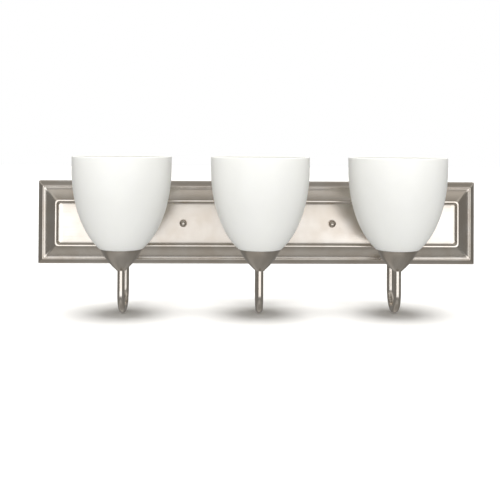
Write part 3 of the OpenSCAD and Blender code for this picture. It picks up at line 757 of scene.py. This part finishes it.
def bent_tube(side, s):
    """Outer skin of the arm: front leg, U, back leg, elbow and the stub through the plate."""
    node = f"arm_tube_{side}"
    radius = span(node).x / 2
    axis = light_axis(side)
    bottom = low(node).z + radius + s.bend
    back_y = axis.y + 2 * s.bend
    seat_z = middle(f"arm_collar_{side}").z
    mesh = bmesh.new()
    edges = circle(mesh, radius, 40, Matrix.Translation((axis.x, axis.y, high(node).z)))

    def draw(edges, move):
        made = bmesh.ops.extrude_edge_only(mesh, edges=edges)
        bmesh.ops.translate(mesh, vec=move, verts=of_kind(made, bmesh.types.BMVert))
        return [edge for edge in of_kind(made, bmesh.types.BMEdge) if edge.is_boundary]

    def turn(edges, centre, angle, steps):
        verts = list({vert for edge in edges for vert in edge.verts})
        made = bmesh.ops.spin(
            mesh, geom=verts + edges, cent=centre, axis=(1, 0, 0), dvec=(0, 0, 0),
            angle=angle, steps=steps, use_merge=False, use_duplicate=False,
        )
        return [item for item in made["geom_last"] if isinstance(item, bmesh.types.BMEdge)]

    edges = draw(edges, (0, 0, bottom - high(node).z))
    edges = turn(edges, (axis.x, axis.y + s.bend, bottom), math.pi, 32)
    edges = draw(edges, (0, 0, seat_z - s.bend - bottom))
    edges = turn(edges, (axis.x, back_y + s.bend, seat_z - s.bend), -math.pi / 2, 16)
    draw(edges, (0, high(node).y - back_y - s.bend, 0))
    bmesh.ops.recalc_face_normals(mesh, faces=mesh.faces)
    return mesh


def collar_outline(side, s):
    """Collar against the panel: a rounded flange, a hollow slope and a rounded neck."""
    node = f"arm_collar_{side}"
    tube = span(f"arm_tube_{side}").x / 2
    outer = span(node).x / 2
    neck = tube + s.collar_neck
    tall = span(node).y
    edge = 0.6 * MM
    step = 1 * MM
    outline = [(tube + s.fit, 0), (outer, 0)]
    outline += arc(outer - edge, s.collar_flange - edge, edge, edge, 0, 90, 5)
    slope_r = outer - step - neck
    outline += arc(neck + slope_r, tall - step, slope_r, tall - step - s.collar_flange, 270, 180, 14)
    outline += arc(neck - edge, tall - edge, edge, edge, 0, 90, 5)
    outline += [(tube + s.fit, tall)]
    return outline


class LIGHTBAR_OT_arms(bpy.types.Operator):
    """Builds the three bent arms and their collars"""

    bl_idname = "lightbar.arms"
    bl_label = "Arms"

    def execute(self, context):
        s = context.scene.light_bar.arm
        for side in SIDES:
            tube = finish_piece(
                bent_tube(side, s), f"bent_arm_{side}", "turned_nickel",
                [f"arm_tube_{side}"],
            )
            wall = tube.modifiers.new("tube wall", "SOLIDIFY")
            wall.thickness = s.tube_wall
            wall.offset = -1
            seat = middle(f"arm_collar_{side}")
            mesh = lathe(collar_outline(side, s), steps=64)
            place(mesh, (seat.x, high(f"arm_collar_{side}").y, seat.z), "room")
            finish_piece(mesh, f"wall_collar_{side}", "button_nickel", [f"arm_collar_{side}"])
        return {"FINISHED"}


# ---------------------------------------------------------------- cups


def cup_outline(side, s):
    """Cone cup: rounded tip, swollen side, flat lip for the shade, and its hollow."""
    node = f"socket_cup_{side}"
    tip_z = low(node).z
    rim_z = high(node).z
    tube = span(f"arm_tube_{side}").x / 2
    tip_r = tube + s.cup_tip
    cup_r = span(node).x / 2
    floor_z = tip_z + s.cup_floor
    round_r = 1 * MM
    side_line = swell_arc((tip_r, tip_z + round_r), (cup_r, rim_z), s.cup_swell, 32)
    hollow = [p for p in beside(side_line, -s.cup_wall) if floor_z < p[1] < rim_z - s.cup_wall]
    outline = [(tube + s.fit, tip_z)]
    outline += arc(tip_r - round_r, tip_z + round_r, round_r, round_r, -90, 0, 5)
    outline += side_line[1:]
    outline += [(cup_r - s.cup_lip, rim_z), (cup_r - s.cup_lip, rim_z - s.cup_wall)]
    outline += [(hollow[-1][0], rim_z - s.cup_wall)]
    outline += hollow[::-1]
    outline += [(hollow[0][0], floor_z), (tube + s.fit, floor_z)]
    return outline


class LIGHTBAR_OT_cups(bpy.types.Operator):
    """Builds the three cone cups and dresses the brackets in them"""

    bl_idname = "lightbar.cups"
    bl_label = "Cups"

    def execute(self, context):
        s = context.scene.light_bar.arm
        for side in SIDES:
            mesh = place(lathe(cup_outline(side, s)), light_axis(side))
            finish_piece(
                mesh, f"cone_cup_{side}", "turned_nickel",
                [f"socket_cup_{side}"], bevel=0.2 * MM,
            )
            dress(f"holder_bracket_{side}", "zinc_steel")
        return {"FINISHED"}


# ---------------------------------------------------------------- shades and rings


def shade_outline(side, s):
    """Opal bell: elliptical side, rounded rim, even wall and a flat foot with its hole."""
    node = f"shade_{side}"
    rim_r = span(node).x / 2
    foot_r = span(f"socket_cup_{side}").x / 2 + s.foot_over
    foot_z = low(node).z
    rim_z = high(node).z
    hole_r = span(f"shade_ring_{side}").x / 2 - s.bearing
    bell_z = rim_z - s.straight
    drop = (bell_z - foot_z) / math.sqrt(1 - (foot_r / rim_r) ** 2)
    turn = math.degrees(math.acos(foot_r / rim_r))
    inner_drop = drop - s.glass
    inner_turn = math.degrees(math.asin((bell_z - foot_z - s.glass) / inner_drop))
    heel = 0.8 * MM
    outline = [(hole_r, foot_z), (foot_r - heel, foot_z)]
    outline += arc(0, bell_z, rim_r, drop, -turn + 0.6, 0, 56)
    outline += arc(rim_r - s.rim, rim_z - s.rim, s.rim, s.rim, 0, 90, 6)
    outline += arc(rim_r - s.glass + s.rim, rim_z - s.rim, s.rim, s.rim, 90, 180, 6)
    outline += arc(0, bell_z, rim_r - s.glass, inner_drop, 0, -inner_turn, 56)
    outline += [(hole_r, foot_z + s.glass)]
    return outline


def ring_outline(side, s):
    """Shade ring: flat flange on the glass and a gripped skirt."""
    node = f"shade_ring_{side}"
    outer = span(node).x / 2
    bore = span(f"lampholder_{side}").x / 2 + 0.1 * MM
    foot = low(node).z
    top = high(node).z
    skirt = outer - s.flange_step
    edge = 0.5 * MM
    outline = [(bore, foot), (outer, foot)]
    outline += arc(outer - edge, foot + s.flange - edge, edge, edge, 0, 90, 4)
    outline += [(skirt, foot + s.flange), (skirt, top - edge)]
    outline += arc(skirt - edge, top - edge, edge, edge, 0, 90, 4)
    outline += [(bore, top)]
    return outline


class LIGHTBAR_OT_shades(bpy.types.Operator):
    """Builds the three opal bell shades"""

    bl_idname = "lightbar.shades"
    bl_label = "Shades"

    def execute(self, context):
        s = context.scene.light_bar.shade
        for side in SIDES:
            mesh = place(lathe(shade_outline(side, s), steps=128), light_axis(side))
            finish_piece(mesh, f"bell_shade_{side}", "opal_glass", [f"shade_{side}"], sharp=50)
        return {"FINISHED"}


class LIGHTBAR_OT_rings(bpy.types.Operator):
    """Builds the three shade rings with their finger grips"""

    bl_idname = "lightbar.rings"
    bl_label = "Shade rings"

    def execute(self, context):
        s = context.scene.light_bar.shade
        for side in SIDES:
            node = f"shade_ring_{side}"
            mesh = lathe(ring_outline(side, s), steps=6 * s.grips)
            skirt = span(node).x / 2 - s.flange_step
            skirt_foot = low(node).z + s.flange - 1e-5
            groove = 1 - 0.9 * MM / skirt
            for vert in mesh.verts:
                angle = math.atan2(vert.co.y, vert.co.x) * s.grips
                on_skirt = vert.co.xy.length > skirt - 0.6 * MM and vert.co.z > skirt_foot
                if on_skirt and math.cos(angle) > 0.4:
                    vert.co.xy *= groove
            place(mesh, light_axis(side))
            finish_piece(mesh, f"grip_ring_{side}", "ring_plastic", [node])
        return {"FINISHED"}


# ---------------------------------------------------------------- lampholders and lamps


def holder_outline(side, s):
    """Porcelain lampholder: skirt, threaded collar for the ring, and the cavity for the shell."""
    node = f"lampholder_{side}"
    crest = span(node).x / 2
    foot = low(node).z
    top = high(node).z
    cavity = crest - s.wall
    collar_z = low(f"shade_{side}").z - 1 * MM
    root = crest - 0.6 * MM
    edge = 0.8 * MM
    outline = [(0, foot)]
    outline += arc(crest - s.skirt_step - edge, foot + edge, edge, edge, -90, 0, 4)
    outline += [(crest - s.skirt_step, collar_z), (root, collar_z)]
    turns = int((top - 3 * MM - collar_z) / s.ring_pitch)
    for i in range(turns):
        z = collar_z + 2 * MM + i * s.ring_pitch
        outline += arc(root, z + s.ring_pitch / 4, crest - root, s.ring_pitch / 4, -90, 90, 6)
    outline += arc(root - edge, top - edge, edge, edge, 0, 90, 4)
    outline += [(cavity + 2 * MM, top), (cavity, top - 2 * MM)]
    outline += [(cavity, foot + s.floor), (0, foot + s.floor)]
    return outline


def bulb_outline(side, s):
    """Lamp glass: globe, shoulder and neck down inside the cap, with an even wall."""
    node = f"lamp_bulb_{side}"
    radius = span(node).x / 2
    centre = high(node).z - radius
    neck_r = span(f"lamp_cap_{side}").x / 2 - s.neck
    flare = high(f"lamp_cap_{side}").z + 1 * MM
    leave = 42
    shoulder_r = radius * math.cos(math.radians(leave))
    shoulder_z = centre - radius * math.sin(math.radians(leave))
    start_r = neck_r + 1.4 * MM
    start_z = flare + 2 * MM
    outside = [(neck_r, low(node).z), (neck_r, flare)]
    for k in range(17):
        t = k / 16
        ease = t * t * (1.6 - 0.6 * t)
        outside.append((start_r + (shoulder_r - start_r) * ease, start_z + (shoulder_z - start_z) * t))
    outside += arc(0, centre, radius, radius, -leave + 4, 88, 40)
    inside = beside(outside, -s.bulb_wall)
    return outside + [(0, centre + radius), (0, centre + radius - s.bulb_wall)] + inside[::-1]


def cap_outline(side, s):
    """Screw cap of the lamp: rolled thread and a plain collar."""
    node = f"lamp_cap_{side}"
    outer = span(node).x / 2
    foot = low(node).z
    top = high(node).z
    inner = outer - 2 * s.cap_wall - 0.15 * MM
    thread = thread_line(outer - 2 * s.wave, foot + 0.6 * MM, top - 3.5 * MM, s.wave, s.thread, 72)
    outline = [(outer - 2 * s.cap_wall, foot)] + thread
    outline += [(outer - 0.1 * MM, top - 2.5 * MM), (outer - 0.1 * MM, top)]
    outline += [(inner, top), (inner, top - 7 * MM), (inner - 0.8 * MM, top - 7.6 * MM)]
    return outline + [(inner - 0.8 * MM, foot)]


def tip_outline(side):
    """Insulated end of the lamp with its soldered contact."""
    node = f"lamp_tip_{side}"
    foot = low(node).z
    top = high(node).z
    outer = span(node).x / 2
    contact = 4.6 * MM
    outline = [(0, foot)]
    outline += arc(contact - 1 * MM, foot + 1 * MM, 1 * MM, 1 * MM, -90, 0, 5)
    outline += arc(outer, foot + 1 * MM, outer - contact, top - foot - 1 * MM, 180, 90, 10)
    return outline + [(0, top)]


class LIGHTBAR_OT_lampholders(bpy.types.Operator):
    """Builds the porcelain lampholders and dresses their brass"""

    bl_idname = "lightbar.lampholders"
    bl_label = "Lampholders"

    def execute(self, context):
        s = context.scene.light_bar.holder
        for side in SIDES:
            mesh = place(lathe(holder_outline(side, s), closed=False), light_axis(side))
            finish_piece(mesh, f"porcelain_holder_{side}", "porcelain", [f"lampholder_{side}"])
            dress(f"screw_shell_{side}", "brass")
            dress(f"centre_contact_{side}", "brass")
        return {"FINISHED"}


class LIGHTBAR_OT_lamps(bpy.types.Operator):
    """Builds the three lamps, each on its own body"""

    bl_idname = "lightbar.lamps"
    bl_label = "Lamps"

    def execute(self, context):
        s = context.scene.light_bar.holder
        for side in SIDES:
            body = f"lamp_{side}"
            axis = light_axis(side)
            bulb = place(lathe(bulb_outline(side, s)), axis)
            finish_piece(
                bulb, f"frosted_bulb_{side}", "lamp_glass", [f"lamp_bulb_{side}"], body,
                sharp=60,
            )
            cap = place(lathe(cap_outline(side, s)), axis)
            finish_piece(cap, f"screw_cap_{side}", "lamp_cap_metal", [f"lamp_cap_{side}"], body)
            tip = place(lathe(tip_outline(side), closed=False, steps=48), axis)
            piece = finish_piece(
                tip, f"insulated_tip_{side}", "lamp_insulator",
                [f"lamp_tip_{side}"], body,
            )
            piece.data.materials.append(MATERIALS["lamp_cap_metal"])
            solder_top = low(f"lamp_tip_{side}").z + 1.05 * MM
            for face in piece.data.polygons:
                face.material_index = int(face.center.z < solder_top)
        return {"FINISHED"}


# ---------------------------------------------------------------- fixings


def cap_nut(s):
    """Domed cap nut, its flange on the XY plane."""
    flange = span("cap_nuts").z / 2
    dome = flange - s.dome_step
    bore = s.stud / 2 + THREAD_GAP
    tall = s.dome_flange + s.dome_barrel
    deep = tall + 1.9 * MM
    edge = 0.35 * MM
    outline = [(0, deep), (bore, deep), (bore, 0), (flange - 0.1 * MM, 0)]
    outline += arc(flange - edge, s.dome_flange - edge, edge, edge, 0, 90, 4)
    outline += [(dome, s.dome_flange), (dome, tall)]
    outline += arc(0, tall, dome, dome, 6, 90, 16)
    return lathe(outline, closed=False, steps=64)


def stud(s, tall):
    """Threaded stud, standing on the XY plane."""
    root = s.stud / 2 - 0.3 * MM
    steps = int(4 * (tall - 1.2 * MM) / s.stud_thread)
    outline = [(0, 0), (root, 0)]
    outline += thread_line(root, 0.4 * MM, tall - 0.8 * MM, 0.15 * MM, s.stud_thread, steps)
    outline += [(root - 0.2 * MM, tall), (0, tall)]
    return lathe(outline, closed=False, steps=32)


def strap(s):
    """Mounting strap with its slots and holes, standing on the XY plane."""
    size = span("mounting_strap")
    stud_x = high("mounting_studs").x - s.stud / 2
    ground_x = middle("ground_screw").x
    mesh = bmesh.new()
    edges = loop_slot(mesh, 0, 0, size.x, size.z, 64)
    for x in (-s.box_pitch / 2, s.box_pitch / 2):
        edges += loop_slot(mesh, x, 0, s.slot_l, s.slot_w)
    for x in (-stud_x, stud_x, ground_x):
        edges += loop_round(mesh, x, 0, s.stud / 2 + THREAD_GAP, 36)
    edges += loop_round(mesh, 0, 0, s.wire_hole)
    fill(mesh, edges)
    return thicken(mesh, size.y)


class LIGHTBAR_OT_fixings(bpy.types.Operator):
    """Builds the cap nuts, strap, studs and nuts, and dresses the small fixings"""

    bl_idname = "lightbar.fixings"
    bl_label = "Fixings"

    def execute(self, context):
        s = context.scene.light_bar.fixing
        stud_x = high("mounting_studs").x - s.stud / 2
        pair = (-stud_x, stud_x)
        caps = [place(cap_nut(s), (x, high("cap_nuts").y, 0), "room") for x in pair]
        finish_piece(join(caps), "domed_cap_nuts", "button_nickel", ["cap_nuts"])

        stud_l = span("mounting_studs").y
        studs = [place(stud(s, stud_l), (x, high("mounting_studs").y, 0), "room") for x in pair]
        finish_piece(join(studs), "threaded_studs", "zinc_steel", ["mounting_studs"])

        mesh = place(strap(s), (0, 0, 0), "room")
        finish_piece(mesh, "slotted_strap", "zinc_steel", ["mounting_strap"], bevel=0.15 * MM)

        size = span("stud_nuts")
        nuts = [hex_nut(size.z, size.y, s.stud / 2 + THREAD_GAP) for x in pair]
        nuts = [place(nut, (x, high("stud_nuts").y, 0), "room") for nut, x in zip(nuts, pair)]
        finish_piece(join(nuts), "stud_hex_nuts", "zinc_steel", ["stud_nuts"], bevel=0.25 * MM)

        tube = span("arm_tube_left").x / 2 + THREAD_GAP
        corners = span("cup_nuts").y
        thick = span("arm_nuts").y
        behind = []
        inside = []
        for side in SIDES:
            seat = middle(f"arm_collar_{side}")
            wall_nut = hex_nut(corners, thick, tube)
            behind.append(place(wall_nut, (seat.x, high("arm_nuts").y, seat.z), "room"))
            axis = light_axis(side)
            inside.append(place(hex_nut(corners, thick, tube), (axis.x, axis.y, low("cup_nuts").z)))
        finish_piece(join(behind), "arm_hex_nuts", "zinc_steel", ["arm_nuts"], bevel=0.3 * MM)
        finish_piece(join(inside), "cup_hex_nuts", "zinc_steel", ["cup_nuts"], bevel=0.3 * MM)
        dress("arm_washers", "zinc_steel")
        dress("holder_screws", "zinc_steel")
        dress("ground_screw", "green_screw")
        return {"FINISHED"}


# ---------------------------------------------------------------- wiring


def round_lead(node):
    """The lead's own route from the frame, with its sides rounded."""
    mesh = copy_of(node)
    bmesh.ops.join_triangles(
        mesh, faces=mesh.faces,
        angle_face_threshold=math.radians(20), angle_shape_threshold=math.radians(60),
    )
    return mesh


def wire_connector(tall, outer, ribs=10):
    """Twist-on wire connector: a skirt with ribs up to a narrow crown."""
    wall = 1.4 * MM
    skirt = 4 * MM
    deep = 9 * MM
    edge = 0.6 * MM
    crown = 1.4 * MM
    crown_r = outer - 2 * MM
    outline = [(0, deep), (outer - wall, deep), (outer - wall, 0), (outer - 0.5 * MM, 0)]
    outline += arc(outer - edge, edge, edge, edge, -60, 0, 3)
    outline += arc(outer - edge, skirt - edge, edge, edge, 0, 70, 3)
    outline += [(outer - 0.9 * MM, skirt + edge), (outer - 1.9 * MM, tall - 2.6 * MM)]
    outline += arc(crown_r - crown, tall - crown, crown, crown, 10, 90, 5)
    outline += [(0, tall)]
    mesh = lathe(outline, closed=False, steps=6 * ribs)
    rib_depth = 0.88
    for vert in mesh.verts:
        between_ribs = math.cos(math.atan2(vert.co.y, vert.co.x) * ribs) < 0.2
        if vert.co.z > skirt and vert.co.xy.length > 2 * MM and between_ribs:
            vert.co.xy *= rib_depth
    return mesh


class LIGHTBAR_OT_wiring(bpy.types.Operator):
    """Builds the leads and the twist-on connectors behind the plate"""

    bl_idname = "lightbar.wiring"
    bl_label = "Wiring"

    def execute(self, context):
        leads = [(f"{tone}_lead_{side}", f"{tone}_pvc") for tone in ("black", "white") for side in SIDES]
        for node, finish_name in leads + [("ground_lead", "green_pvc")]:
            piece = finish_piece(round_lead(node), f"insulated_{node}", finish_name, [node], sharp=60)
            smooth = piece.modifiers.new("round", "SUBSURF")
            smooth.levels = 1
            smooth.render_levels = 1
        box_low = low("wire_connectors")
        box_high = high("wire_connectors")
        outer = 6 * MM
        tall = box_high.z - box_low.z
        meshes = []
        for x, distance in self.places():
            meshes.append(place(wire_connector(tall, outer), (x, -distance, box_low.z)))
        finish_piece(join(meshes), "twist_connectors", "connector_plastic", ["wire_connectors"])
        return {"FINISHED"}

    def places(self):
        """Axis of each connector, read from the separate solids of its CAD node."""
        mesh = copy_of("wire_connectors")
        found = []
        left = set(mesh.verts)
        while left:
            group = set()
            todo = [left.pop()]
            while todo:
                vert = todo.pop()
                group.add(vert)
                for edge in vert.link_edges:
                    other = edge.other_vert(vert)
                    if other in left:
                        left.remove(other)
                        todo.append(other)
            xs = [vert.co.x for vert in group]
            ys = [vert.co.y for vert in group]
            found.append(((min(xs) + max(xs)) / 2, -(min(ys) + max(ys)) / 2))
        mesh.free()
        return sorted(found)


# ---------------------------------------------------------------- stage


def studio_world(s):
    """White studio: a lit band in front, brighter to its ends, over a dim room that metal mirrors."""
    world = bpy.data.worlds.new("studio")
    world.use_nodes = True
    tree = world.node_tree
    tree.nodes.clear()
    where = add(tree, "ShaderNodeTexCoord").outputs["Generated"]
    parts = add(tree, "ShaderNodeSeparateXYZ", links={"Vector": where}).outputs

    def window(value, start_at, end_at, least, most):
        limits = {"From Min": start_at, "From Max": end_at, "To Min": least, "To Max": most}
        step = add(tree, "ShaderNodeMapRange", limits, {"Value": value}, interpolation_type="SMOOTHSTEP")
        return step.outputs["Result"]

    def maths(operation, first, second):
        node = add(tree, "ShaderNodeMath", operation=operation)
        for socket, value in zip(node.inputs, (first, second)):
            if isinstance(value, float):
                socket.default_value = value
            else:
                tree.links.new(value, socket)
        return node.outputs["Value"]

    def both(first, second):
        return maths("MULTIPLY", first, second)

    across = maths("ABSOLUTE", parts["X"], 0.0)
    # the lit band: in front of the object, from a little below its middle to a little above it
    front = window(parts["Y"], -0.75, -0.55, 1.0, 0.0)
    height = both(window(parts["Z"], -0.5, -0.35, 0.0, 1.0), window(parts["Z"], 0.13, 0.26, 1.0, 0.0))
    inner = window(across, 0.1, 0.2, s.band, s.band + s.ends)
    outer = window(across, 0.46, 0.58, 1.0, 0.0)
    band = both(both(front, height), both(inner, outer))
    # the ceiling fades straight overhead, and the floor fades straight below and to the right
    above = both(window(parts["Z"], 0.25, 0.5, 0.0, s.above), window(parts["Z"], 0.6, 0.98, 1.0, 0.25))
    low_end = window(parts["Z"], -0.95, -0.85, 0.35, 1.0)
    below = both(low_end, window(parts["Z"], -0.74, -0.6, s.below, 0.0))
    sideways = both(window(parts["X"], 0.0, 0.6, 1.0, 0.15), window(parts["X"], -0.6, 0.0, 0.6, 1.0))
    rest = maths("ADD", maths("ADD", above, both(below, sideways)), s.room)
    warm = add(tree, "ShaderNodeBackground", {"Color": (1, 0.985, 0.95, 1)}, {"Strength": rest})
    cool = add(tree, "ShaderNodeBackground", {"Color": (0.985, 1, 1.03, 1)}, {"Strength": band})
    lit = add(tree, "ShaderNodeAddShader")
    tree.links.new(warm.outputs["Background"], lit.inputs[0])
    tree.links.new(cool.outputs["Background"], lit.inputs[1])
    white = add(tree, "ShaderNodeBackground", {"Color": (1, 1, 1, 1), "Strength": 1.0})
    seen = add(tree, "ShaderNodeLightPath").outputs["Is Camera Ray"]
    mix = add(tree, "ShaderNodeMixShader")
    tree.links.new(seen, mix.inputs[0])
    tree.links.new(lit.outputs["Shader"], mix.inputs[1])
    tree.links.new(white.outputs["Background"], mix.inputs[2])
    add(tree, "ShaderNodeOutputWorld", links={"Surface": mix.outputs["Shader"]})
    bpy.context.scene.world = world


def sun(name, strength, direction, softness):
    """A broad soft light from one direction, which the metal doesn't mirror."""
    data = bpy.data.lights.new(name, "SUN")
    data.energy = strength
    data.angle = math.radians(softness)
    lamp = bpy.data.objects.new(name, data)
    lamp.rotation_mode = "QUATERNION"
    lamp.rotation_quaternion = Vector(direction).to_track_quat("-Z", "Y")
    lamp.visible_glossy = False
    bpy.context.scene.collection.objects.link(lamp)


class LIGHTBAR_OT_stage(bpy.types.Operator):
    """Sets the floor, the soft studio light and the camera"""

    bl_idname = "lightbar.stage"
    bl_label = "Stage"

    def execute(self, context):
        s = context.scene.light_bar.stage
        scene = context.scene
        scene.view_settings.view_transform = "Standard"
        studio_world(s)
        sun("overhead light", s.overhead, (0, 0.12, -1), 30)
        sun("front light", s.front, (0.05, 1, 0.35), 60)
        sun("left light", s.sides, (1, 0.7, 0.1), 60)
        sun("right light", s.sides, (-1, 0.7, 0.1), 60)

        mesh = bmesh.new()
        bmesh.ops.create_grid(mesh, x_segments=1, y_segments=1, size=6)
        gap = 0.5 * MM
        bmesh.ops.translate(mesh, vec=(0, 0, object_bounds()[0].z - gap), verts=mesh.verts)
        data = bpy.data.meshes.new("floor")
        mesh.to_mesh(data)
        mesh.free()
        data.materials.append(studio_paper("matte studio paper", scene.light_bar.finish))
        floor = bpy.data.objects.new("floor", data)
        floor.visible_glossy = False
        floor.visible_diffuse = False
        floor.visible_shadow = False
        scene.collection.objects.link(floor)
        floor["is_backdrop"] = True

        camera = bpy.data.objects.new("camera", bpy.data.cameras.new("camera"))
        camera.data.lens = s.lens
        camera.data.sensor_width = 36
        camera.data.shift_y = s.shift
        camera.data.clip_end = 50
        ahead = Vector((math.sin(s.turn), math.cos(s.turn), math.tan(s.tilt)))
        camera.rotation_mode = "QUATERNION"
        camera.rotation_quaternion = ahead.to_track_quat("-Z", "Y") @ Quaternion((0, 0, 1), s.roll)
        camera.location = s.camera
        scene.collection.objects.link(camera)
        scene.camera = camera
        return {"FINISHED"}


# ---------------------------------------------------------------- panel and registration

PIECES = (
    LIGHTBAR_OT_backplate,
    LIGHTBAR_OT_arms,
    LIGHTBAR_OT_cups,
    LIGHTBAR_OT_shades,
    LIGHTBAR_OT_rings,
    LIGHTBAR_OT_lampholders,
    LIGHTBAR_OT_lamps,
    LIGHTBAR_OT_fixings,
    LIGHTBAR_OT_wiring,
    LIGHTBAR_OT_stage,
)


class LIGHTBAR_PT_panel(bpy.types.Panel):
    """Lists the pieces in the sidebar"""

    bl_idname = "LIGHTBAR_PT_panel"
    bl_label = "Light bar"
    bl_space_type = "VIEW_3D"
    bl_region_type = "UI"
    bl_category = "Light bar"

    def draw(self, context):
        for operator in PIECES:
            self.layout.operator(operator.bl_idname)


CLASSES = (
    PlateSizes, ArmSizes, ShadeSizes, HolderSizes, FixingSizes, Finishes, StageSettings,
    LightBarSettings, *PIECES, LIGHTBAR_PT_panel,
)


def register():
    """Registers the classes and the scene's settings."""
    for item in CLASSES:
        bpy.utils.register_class(item)
    bpy.types.Scene.light_bar = PointerProperty(type=LightBarSettings)


def unregister():
    """Takes them away again."""
    del bpy.types.Scene.light_bar
    for item in reversed(CLASSES):
        bpy.utils.unregister_class(item)


def main():
    """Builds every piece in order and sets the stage."""
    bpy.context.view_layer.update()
    register()
    MATERIALS.update(make_materials(bpy.context.scene.light_bar.finish))
    for operator in PIECES:
        group, name = operator.bl_idname.split(".")
        getattr(getattr(bpy.ops, group), name)()


if __name__ == "__main__":
    main()
